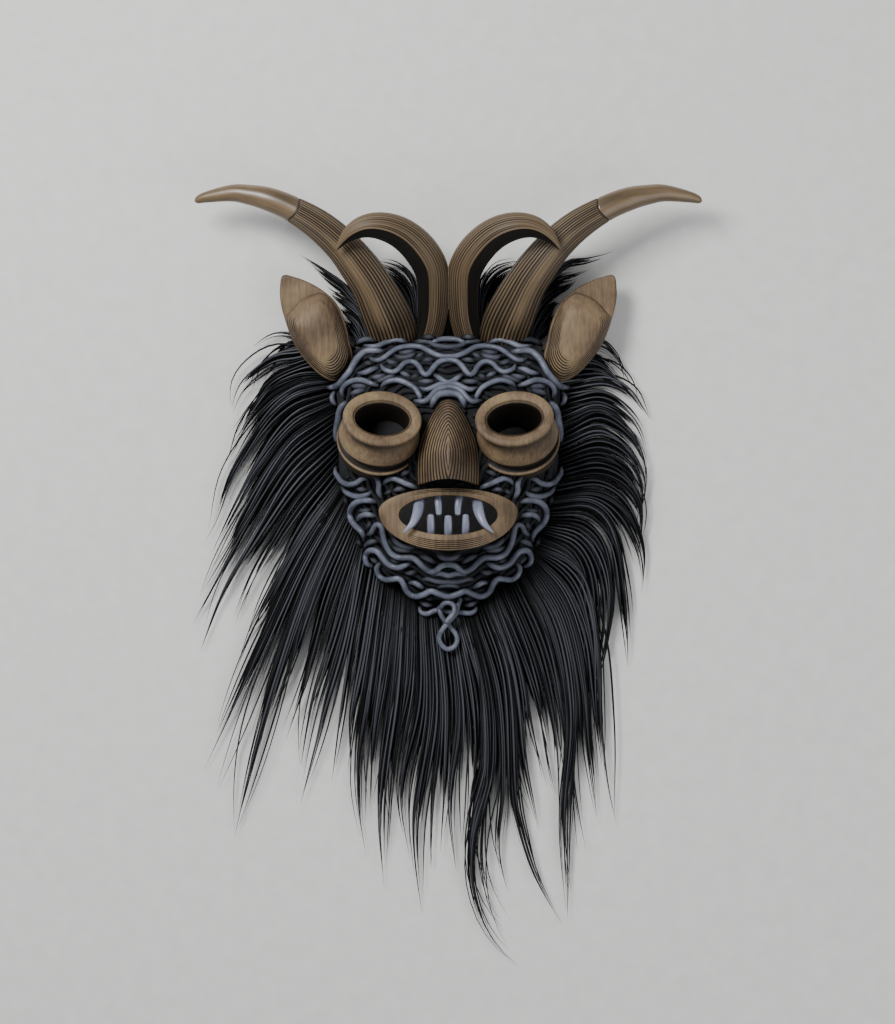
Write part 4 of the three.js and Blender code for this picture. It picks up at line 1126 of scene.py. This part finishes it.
def horn_top(x, y):
    """Height of the horns' upper side near their feet, over places on the floor."""
    top = np.zeros(len(x))
    for rows in (OUTER_HORN, INNER_HORN):
        route = floor_route(rows, HORN_STEPS)[:HORN_FOOT_STEPS]
        off = np.hypot(-np.abs(x)[:, None] - route[:, 0], y[:, None] - route[:, 1])
        near = route[off.argmin(axis=1)]
        beside = np.clip(off.min(axis=1) / (near[:, 3] / 2), 0, 1)
        top = np.maximum(top, (near[:, 2] + near[:, 4] / 2 * np.sqrt(1 - beside ** 2)) * (beside < 1))
    return top


def lashed(spots):
    """Lifts a cord over the feet of the horns that it crosses, and eases the lift along it."""
    rise = np.clip(horn_top(spots[:, 0], spots[:, 1]) + LASH_LIFT - spots[:, 2], 0, LASH_MOST)
    kernel = np.hanning(2 * LASH_EASE + 3)[1:-1]
    wide = np.convolve(np.pad(rise, LASH_EASE, mode="edge"), kernel / kernel.sum(), mode="valid")
    spots[:, 2] += np.maximum(rise, wide)
    return spots


def shaded_undersides(turn):
    """Painted shade on a cord's sides and underside, from the angle round it."""
    return np.clip(1.15 * (0.72 - np.sin(turn)), 0, 1)


def over_shell(points, layer, width, flip):
    """A cord laid over the face through places (across, down), its ends tucked under."""
    flat = smooth_path(points, max(8, int(run_along(np.array(points, float))[-1] / CORD_STEP)))
    run = run_along(flat)
    tuck = way(np.minimum(run, run[-1] - run), TUCK, 0) ** 1.5
    lift = LAYER_LIFT[layer] - tuck * (LAYER_LIFT[layer] - TUCK_LIFT)
    lift += CORD_RIPPLE[0] * np.sin(run / CORD_RIPPLE[1])
    spots = lashed(over_face(flat[:, 0] * flip, flat[:, 1], lift))
    swell = CORD_SWELL[0] + CORD_SWELL[1] * np.sin(math.pi * run / run[-1])
    half = (width / 2 * swell * (1 - TUCK_THINS * tuck))[None]
    points, faces, shares = tubes(spots[None], half, half, CORD_SIDES)
    # Painted shade: deeper layers and tucked ends darker, and each cord's sides and underside.
    tone = np.repeat(LAYER_SHADE[layer] + tuck, CORD_SIDES) + shaded_undersides(shares[:, 0] * TURN)
    return points, faces, shares, np.clip(tone, 0, 1)


def traced_cords():
    """The cords that show, looped and crossed as the photograph has them, over the ones laid round."""
    bundles = []
    for layer, width, points in CORD_ROUTES:
        ends_at = points[-1][0]
        if ends_at == 0:
            points = points + [(-across, down) for across, down in points[-2::-1]]
        for flip in (1, -1) if ends_at < 0 else (1,):
            bundles.append(over_shell(points, layer, width, flip))
    fit_out(tube_piece("looped_cords", bundles, "cord"), "cord", "cord_net")


UNDER_LIPS = 5                 # how far in under the lips the hoops still run
UNDER_SPOOL = (33, 29)         # half width and height of the place under a spool that they leave free
UNDER_NOSE = (24, 76, 146)     # half width of the one under the nose, and from where to where down it is


def covered(spots):
    """Where the mouth ring, the eye spools and the nose stand on the cords."""
    x, down = np.abs(spots[:, 0]), TOP_Y - spots[:, 1]
    rise = np.where(down < MOUTH["down"], MOUTH["above"], MOUTH["below"]) - UNDER_LIPS
    lips = np.hypot(x / (MOUTH["half"] - UNDER_LIPS), (down - MOUTH["down"]) / rise) < 1
    foot = SPOOL_FRONT + SPOOL_AXIS * FLANGE[1]
    eye = np.hypot((x + foot[0]) / UNDER_SPOOL[0], (spots[:, 1] - foot[1]) / UNDER_SPOOL[1]) < 1
    hood = (x < UNDER_NOSE[0]) & (down > UNDER_NOSE[1]) & (down < UNDER_NOSE[2])
    return lips | eye | hood


HOOPS = 17
HOOP_START = 24                # height of the lowest hoop over the floor
HOOP_GIRTH = 800               # its length
HOOP_HALF = 2.4                # half the cord's thickness
HOOP_WAVE = 2.4                # how far a hoop waves to each side
HOOP_WAVE_LENGTH = 31
HOOP_STEP = 3                  # length of one piece of a hoop's mesh
HOOP_SIDES = 6
HOOP_PLACES = (420, 90)        # places measured on the dome, round it and up it
LEAST_STRETCH = 5              # a hoop isn't laid between two covered places nearer than this many


def hoop_places(number):
    """One wavy hoop round the face: its places, from the rim wall up to the middle."""
    turn = np.linspace(0, TURN, HOOP_PLACES[0], endpoint=False)
    rise = np.linspace(0, 1, HOOP_PLACES[1])
    grid = dome_place(np.repeat(turn, len(rise)), np.tile(rise, len(turn)), SHELL_INSET - LAYER_LIFT[0])
    grid = grid.reshape(len(turn), len(rise), 3)
    length = np.stack([run_along(line) for line in grid])
    start = np.array([np.interp(HOOP_START, line[:, 2], run) for line, run in zip(grid, length)])
    share = number / HOOPS
    waves = max(3, round((1 - share) * HOOP_GIRTH / HOOP_WAVE_LENGTH))
    wave = HOOP_WAVE * np.sin(turn * waves + number * math.pi)
    at = start + share * (length[:, -1] - start) + wave
    at = np.clip(at, start - 1, length[:, -1] - 2)
    return np.array([[np.interp(here, run, column) for column in line.T]
                     for here, run, line in zip(at, length, grid)])


def laid_cords():
    """Hoops of cord laid wave against wave round the face, under the cords that show."""
    bundles = []
    for number in range(HOOPS - 1):
        ring = hoop_places(number)
        free = ~covered(ring)
        ring = np.roll(ring, -np.argmin(free), axis=0)
        free = np.roll(free, -np.argmin(free))
        edges = np.flatnonzero(np.diff(np.concatenate([[0], free.astype(int), [0]])))
        for first, last in zip(edges[::2], edges[1::2]):
            if last - first < LEAST_STRETCH:
                continue
            run = np.vstack([ring, ring[:1]]) if free.all() else ring[first:last]
            path = smooth_path(run, max(6, int(run_along(run)[-1] / HOOP_STEP)))
            half = np.full((1, len(path)), HOOP_HALF)
            points, faces, shares = tubes(path[None], half, half, HOOP_SIDES)
            # The hoops take the lowest layer's painted shade.
            bundles.append((points, faces, shares, np.full(len(points), LAYER_SHADE[0])))
    fit_out(tube_piece("laid_cords", bundles, "cord"), "cord", "cord_net")


def chin_cord():
    """The last cord, looped round and back through itself below the chin."""
    route = floor_route(CHIN_CORD, 110)
    half = np.full((1, len(route)), CHIN_CORD_HALF)
    points, faces, shares = tubes(route[None], half, half, CORD_SIDES)
    tone = shaded_undersides(shares[:, 0] * TURN)
    fit_out(tube_piece("chin_loop", [(points, faces, shares, tone)], "cord"), "cord", "cord_net")


# Hair

# Locks of hair round the rim. Each is a list of places (across, down) from its root to its tip.
HAIR_GUIDES = {
    "left": [
        [(-126.5, -19), (-148.5, -3), (-164.5, -5.5), (-180.5, -3), (-199.5, 10)],
        [(-123.5, -5), (-148.5, 3), (-166.5, 11), (-189.5, 47)],
        [(-126.5, 7), (-149.5, 15.5), (-172.5, 19), (-192, 31), (-209.5, 48), (-220.5, 75)],
        [(-119.5, 35), (-148.5, 35), (-176.5, 47), (-196.5, 71), (-210.5, 95), (-222.5, 111)],
        [(-122.5, 51), (-153.5, 59), (-178.5, 78), (-199.5, 107), (-220.5, 143), (-234.5, 183),
         (-249.5, 212.5)],
        [(-126.5, 68), (-156.5, 83), (-186.5, 118), (-212.5, 163), (-241.5, 223)],
        [(-126.5, 88), (-160.5, 115), (-193.5, 168), (-223.5, 223), (-262, 294.5)],
        [(-124.5, 111), (-158.5, 143), (-196.5, 203), (-226.5, 255), (-253.5, 324)],
        [(-120.5, 133), (-152.5, 171), (-186.5, 223), (-206.5, 263), (-217.5, 295.5)],
        [(-116.5, 151), (-146.5, 193), (-178.5, 253), (-205.5, 304)],
        [(-112.5, 165), (-148.5, 223), (-186.5, 303), (-220.5, 378), (-251.5, 446)],
        [(-108.5, 178), (-143.5, 253), (-172.5, 338), (-195.5, 418), (-219, 517)],
        [(-104.5, 191), (-132.5, 253), (-158.5, 328), (-183.5, 392)],
        [(-98.5, 203), (-122.5, 263), (-145.5, 343), (-166.5, 414)],
        [(-90.5, 215), (-110.5, 283), (-134.5, 363), (-150.5, 440)],
    ],
    "beard_left": [
        [(-88.5, 223), (-103.5, 303), (-126.5, 383), (-151.5, 479)],
        [(-82.5, 231), (-96.5, 303), (-108.5, 383), (-118.5, 456)],
        [(-74.5, 239), (-86.5, 313), (-98.5, 383), (-97.5, 447)],
        [(-64.5, 247), (-76.5, 333), (-90.5, 443), (-82, 533)],
        [(-56.5, 255), (-64.5, 323), (-76.5, 403), (-79.5, 481)],
        [(-46.5, 263), (-52.5, 353), (-66.5, 463), (-64.5, 566)],
        [(-38.5, 269), (-42.5, 343), (-54.5, 413), (-58.5, 483)],
        [(-30.5, 275), (-30.5, 363), (-46.5, 453), (-37.5, 535)],
        [(-20.5, 280), (-16.5, 383), (-32.5, 493), (-25.5, 592)],
        [(-10.5, 283), (-0.5, 363), (-2.5, 443), (-8.5, 528)],
        [(-0.5, 285), (9.5, 383), (1.5, 463), (8.5, 545)],
    ],
    "beard_right": [
        [(7.5, 284), (21.5, 363), (25.5, 433), (18.5, 502)],
        [(13.5, 283), (33.5, 353), (31.5, 403), (24.5, 455)],
        [(19.5, 281), (37.5, 363), (38.5, 448), (27.5, 484), (21.5, 519), (23.5, 554), (34.5, 590),
         (53.5, 618), (80.5, 640.5)],
        [(27.5, 275), (51.5, 353), (57.5, 443), (51.5, 513), (62.5, 568.5)],
        [(35.5, 269), (59.5, 343), (64.5, 460), (74.5, 507), (90.5, 550), (120.5, 600)],
        [(43.5, 263), (67.5, 343), (75.5, 423), (92, 502)],
        [(51.5, 257), (79.5, 323), (93.5, 373), (105, 431)],
        [(61.5, 247), (91.5, 323), (107.5, 403), (112.5, 492)],
        [(69.5, 239), (99.5, 303), (117.5, 383), (125.5, 469)],
        [(77.5, 231), (111.5, 293), (125.5, 383), (117.5, 483), (120.5, 600)],
        [(83.5, 223), (117.5, 273), (135.5, 343), (143.5, 423), (151.5, 495)],
        [(87, 218), (119, 249), (139, 298), (148, 363), (156, 440)],
    ],
    "right": [
        [(89.5, 213), (119.5, 225), (141.5, 253), (151.5, 313), (153.5, 383), (161.5, 453), (173.5, 503)],
        [(94.5, 201), (125.5, 219), (139.5, 263), (137.5, 333), (125.5, 395)],
        [(99.5, 187), (133.5, 193), (155.5, 219), (163.5, 263), (155.5, 323), (141.5, 372)],
        [(104.5, 173), (141.5, 171), (163.5, 193), (173.5, 238), (179.5, 283), (181.5, 340)],
        [(109.5, 158), (148, 153), (173.5, 165), (188.5, 188), (197.5, 218), (196.5, 253)],
        [(113.5, 138), (151.5, 131), (179.5, 145), (193.5, 173), (191.5, 223)],
        [(117.5, 115), (151.5, 103), (179.5, 115), (195.5, 142), (195.5, 165), (186.5, 193)],
        [(121.5, 88), (151.5, 75), (181.5, 95), (196.5, 123), (198.5, 155)],
        [(123.5, 65), (155.5, 61), (185.5, 81), (201.5, 111)],
        [(125.5, 45), (157.5, 41), (181.5, 53), (195.5, 71), (206.5, 84)],
        [(126.5, 25), (151.5, 27), (173.5, 45), (191.5, 67)],
        [(125.5, 7), (151.5, 3), (165.5, 13), (173.5, 27), (178.5, 44)],
    ],
    "crown_left": [
        [(-96.3, -2), (-102.3, -10), (-108.3, -19)],
        [(-86.3, -3), (-92.3, -17), (-102.3, -26), (-113.3, -34)],
        [(-78.3, -3), (-88.3, -25), (-103.3, -38), (-114.3, -44), (-124, -49.2)],
        [(-72.3, -3), (-82.3, -26), (-98.1, -43.2), (-108.5, -55.2), (-120.5, -63.8), (-137.8, -75.9),
         (-155, -88)],
    ],
    "crown_right": [
        [(71.7, -3), (83.7, -37), (103.7, -63), (121.7, -78), (139.7, -80), (157.7, -84.5), (167.7, -89),
         (174, -95.5)],
        [(79.7, -3), (91.7, -29), (102.7, -42), (113.7, -48), (121.7, -53), (132.2, -62)],
        [(85.7, -3), (96.7, -21), (107.7, -35), (117.7, -37)],
        [(93.7, -2), (101.7, -11), (109.7, -21)],
    ],
    "curl": [
        [(-44, -3), (-49, -28), (-57, -44), (-68, -55)],
        [(-40.5, -3), (-45, -28), (-53, -46), (-65, -57), (-77, -63)],
        [(-37, -3), (-41, -32), (-49, -50), (-63, -63), (-77, -69)],
        [(-35, -3), (-37, -33), (-44, -51), (-57, -64), (-70, -70), (-80, -73)],
        [(-33.5, -3), (-34.5, -37), (-40.5, -54), (-52, -66), (-68, -73), (-80, -76)],
        [(-32.7, -3), (-33, -37), (-37.5, -58), (-50, -71.5), (-68, -77.5), (-80, -79)],
        [(-32, -3), (-31.8, -37), (-36.5, -62), (-49, -77), (-71, -82)],
    ],
    "parting": [
        [(-14.3, -1), (-9.3, -14), (-5.3, -27)],
        [(0, -1), (0, -16), (0, -31)],
    ],
}
HAIR_STEPS = 22
GUIDE_STEPS = 40
HAIR_ROOT = 8.7                # how far in from the cord area's edge the hair starts, inside the wall
BAND_HEIGHT = 10               # height of the band below the cords that the hair is sewn in
BAND_RISE = 0.35               # how steeply the hair rises from it
LOW = 2.4                      # height of the lowest hair's middle over the floor
TIP_DEPTH = 2.5                # how high the hair's tips lie over one another
HAIR_RIPPLE = (0.8, 9)         # how far a strand rises and sinks on its way, and how often
LED_BACK = 60                  # how far a guide may be led back to the wall
# For each kind of strand: how many to a thick one, and the ranges of its level in the hair's depth,
# its length, its half width in mm and its lightness, which varies from hair to hair and is a painted
# highlight on the lighter ones. The sides of its section come next, and then how far it sways to a side
# and how much shorter it is midway between two guides. The thick ones come first, then dark hair below
# them, fine hair between, and single hairs that stray.
STRAND_KINDS = [
    (1, (0.75, 1.0), (0.8, 1.0), (0.85, 1.35), (0.6, 1.0), 6, 2.5, 0.28),
    (2, (0.1, 0.6), (0.55, 0.9), (1.7, 2.5), (0.0, 0.06), 4, 2.5, 0.28),
    (4, (0.3, 1.02), (0.6, 1.0), (0.3, 0.5), (0.05, 0.35), 3, 2.5, 0.28),
    (0.8, (0.55, 0.9), (0.88, 1.0), (0.7, 1.1), (0.3, 0.8), 4, 12, 0),
]
CROWN_KINDS = [
    (1, (0.75, 1.0), (0.8, 1.0), (1.0, 1.5), (0.6, 1.0), 6, 2.5, 0.28),
    (3, (0.1, 0.8), (0.7, 1.0), (1.7, 2.5), (0.0, 0.06), 4, 4, 0.1),
]
# Of a hank: its depth past the rim, the space between its thick strands half way along, how thick they
# are, and its kinds of strand.
LONG_HAIR = (25, 6.2, 1.0, STRAND_KINDS)
CROWN_HAIR = (12, 1.9, 0.55, CROWN_KINDS)


def in_wall(spots):
    """Which places on the floor lie within the shell's wall."""
    away = spots - (0, CENTRE_Y)
    return np.hypot(*away.T) < reach(np.arctan2(away[:, 1], away[:, 0]), HAIR_ROOT)


def rooted(points):
    """A guide as an even path from the shell's wall. One that starts outside it is led back to it,
    straight on where that meets the wall, and otherwise turned toward the middle."""
    path = floor_route(points, 2 * GUIDE_STEPS)
    inside = in_wall(path)
    if inside.any():
        return smooth_path(path[np.flatnonzero(inside)[-1]:], GUIDE_STEPS)
    straight = (path[0] - path[8]) / np.linalg.norm(path[0] - path[8])
    inward = (0, CENTRE_Y) - path[0]
    for share in (0, 0.25, 0.5, 0.75, 1):
        heading = straight * (1 - share) + inward / np.linalg.norm(inward) * share
        back = path[0] + np.arange(2, LED_BACK)[:, None] * heading
        if in_wall(back).any():
            return smooth_path(np.vstack([back[in_wall(back)][:1], path[::4]]), GUIDE_STEPS)
    return smooth_path(path, GUIDE_STEPS)


def between(before, after, share):
    """A path between two guides. Toward its tip it leans to the nearer guide, so that gaps open."""
    lean = share - np.sin(share * TURN) / TURN
    ease = way(np.linspace(0, 1, GUIDE_STEPS), 0.25, 0.85)[:, None]
    return before + (after - before) * (share + (lean - share) * ease * ease * (3 - 2 * ease))


def strand(middle, depth, length, level, sway):
    """One strand along the first share of a path, at a level of the hair's depth, swaying to one side."""
    run = run_along(middle)
    wanted = np.linspace(0, run[-1] * length, HAIR_STEPS)
    path = np.stack([np.interp(wanted, run, column) for column in middle.T], axis=1)
    side = across_and_up(np.hstack([path, np.zeros((HAIR_STEPS, 1))]))[0][:, :2]
    share = np.linspace(0, length, HAIR_STEPS)
    height = np.minimum(depth * (1 - share) ** 0.8 + TIP_DEPTH, BAND_HEIGHT + BAND_RISE * wanted)
    ripple = HAIR_RIPPLE[0] * np.sin(share * HAIR_RIPPLE[1] + sway)
    z = np.maximum(LOW + level * height + ripple, LOW - 0.6)
    return np.column_stack([path + side * (sway * np.sin(share * math.pi) * share)[:, None], z])


def strands_between(guides, chance, depth, space, number, level, length, sway, shorter):
    """One kind of strand between the first and the last guide. Those midway between two are shorter."""
    paths = [rooted(points) for points in guides]
    strands = []
    for before, after in zip(paths, paths[1:]):
        apart = np.linalg.norm(before[GUIDE_STEPS // 2] - after[GUIDE_STEPS // 2])
        count = round(max(2, round(apart / space)) * number)
        shares = chance.uniform(0, 1, count)
        if number == 1:
            shares = np.arange(count + (after is paths[-1])) / count
        for share in shares:
            reach_out = 1.0 if share in (0, 1) else chance.uniform(*length)
            reach_out *= 1 - shorter * (1 - abs(2 * share - 1))
            strands.append(strand(between(before, after, share), depth, reach_out, chance.uniform(*level),
                                  chance.normal(0, sway)))
    return np.array(strands)


def hair_tubes(strands, thick, tone, sides):
    """Tapered strands as a bundle for tube_piece, with a painted highlight along their upper side."""
    steps = np.linspace(0, 1, HAIR_STEPS)
    half = thick[:, None] * np.interp(steps, [0, 0.15, 0.6, 0.85, 1], [0.7, 1, 1, 0.6, 0.06])
    points, faces, shares = tubes(pushed_out(strands, HAIR_ROOT), half, half * 0.8, sides)
    # A painted highlight, brightest midway along each strand and on its upper side.
    shine = tone[:, None] * np.interp(steps, [0, 0.1, 0.3, 0.75, 0.95, 1], [0.2, 0.7, 1, 0.9, 0.3, 0])
    lit = np.clip(0.2 + 1.1 * np.sin(shares[:, 0] * TURN), 0, 1)
    return points, faces, shares, np.repeat(shine.ravel(), sides) * lit


def hair_piece(name, node, groups, seed, hank):
    """One hank of long goat hair, sewn under the edge of the cords: thick waxed strands, lit with a painted
    highlight, over dark hair.
    """
    chance = np.random.default_rng(seed)
    depth, space, thick, kinds = hank
    bundles = []
    for number, level, length, half, tone, sides, sway, shorter in kinds:
        strands = np.vstack([strands_between(guides, chance, depth, space, number, level, length,
                                             sway, shorter) for guides in groups])
        bundles.append(hair_tubes(strands, chance.uniform(*half, len(strands)) * thick,
                                  chance.uniform(*tone, len(strands)), sides))
    fit_out(tube_piece(name, bundles, "hair"), "hair", node)


def mirrored(guides):
    """The same guides on the other side, in their order from left to right."""
    return [[(-across, down) for across, down in points] for points in reversed(guides)]


def all_hair():
    """Every hank with a seed of its own. Two that meet share the guide between them."""
    left, beard_left, beard_right, right, crown_left, crown_right, curl, parting = HAIR_GUIDES.values()
    hair_piece("hair_left_side", "hair_left", [left], 11, LONG_HAIR)
    hair_piece("beard_left_side", "beard", [left[-1:] + beard_left], 12, LONG_HAIR)
    hair_piece("beard_right_side", "beard", [beard_left[-1:] + beard_right], 13, LONG_HAIR)
    hair_piece("hair_right_side", "hair_right", [beard_right[-1:] + right], 14, LONG_HAIR)
    hair_piece("crown_tuft_left", "crown_hair_left", [crown_left, curl, parting], 15, CROWN_HAIR)
    hair_piece("crown_tuft_right", "crown_hair_right", [crown_right, mirrored(curl), mirrored(parting)],
               16, CROWN_HAIR)


# The mask

face_shell()
laid_cords()
traced_cords()
chin_cord()
mouth_ring()
nose()
for side, flip in (("left", 1), ("right", -1)):
    eye_spool(side, flip)
    outer_horn(side, flip)
    inner_horn(side, flip)
    ear(side, flip)
    for kind in ("fang", "incisor", "lower_tooth"):
        tooth(f"{kind}_{side}", flip)
tooth("lower_tooth_middle", 1)
all_hair()


# Floor, light and camera

FLOOR_SIZE = 9                 # in metres, as are the places of lights and camera
CAMERA_HEIGHT = 6.0
FACE_LEVEL = 0.06              # height at which the picture's scale is true
SENSOR = 36


def floor_material():
    """Matt paper, seamless and pale, with a faint fibre."""
    material = new_material("pale_paper", 0.85)
    _, colour = clouded(material, 60.0, 3.0, [(0.3, "#D2D1CE"), (0.7, "#D9D8D5")])
    return join_up(material, colour)


bpy.ops.mesh.primitive_plane_add(size=FLOOR_SIZE)
floor = bpy.context.active_object
floor.name = "paper_floor"
floor.data.materials.append(floor_material())
floor.select_set(False)


def soft_light(name, place, size, power):
    """A square light aimed at the middle of the mask."""
    bpy.ops.object.light_add(type="AREA", location=place)
    light = bpy.context.active_object
    light.name = name
    light.data.size = size
    light.data.energy = power
    aim = math.atan2(math.hypot(place[0], place[1]), place[2])
    light.rotation_euler = (0, aim, math.atan2(place[1], place[0]))
    light.select_set(False)


soft_light("key_light", (-1.1, 1.3, 2.0), 0.9, 75)
soft_light("fill_light", (1.6, -0.6, 1.8), 1.6, 22)

world = bpy.data.worlds.new("studio")
world.use_nodes = True
sky = world.node_tree.nodes["Background"]
sky.inputs["Color"].default_value = linear("#DDE0E6")
sky.inputs["Strength"].default_value = 0.5
bpy.context.scene.world = world

# The camera looks straight down from high above, as flat as the photograph.
bpy.ops.object.camera_add(location=(PHOTO_CENTRE[0] * MM, PHOTO_CENTRE[1] * MM, CAMERA_HEIGHT))
camera = bpy.context.active_object
camera.data.sensor_width = SENSOR
camera.data.lens = SENSOR * (CAMERA_HEIGHT - FACE_LEVEL) / (PHOTO_HEIGHT * MM)
camera.select_set(False)
bpy.context.scene.camera = camera
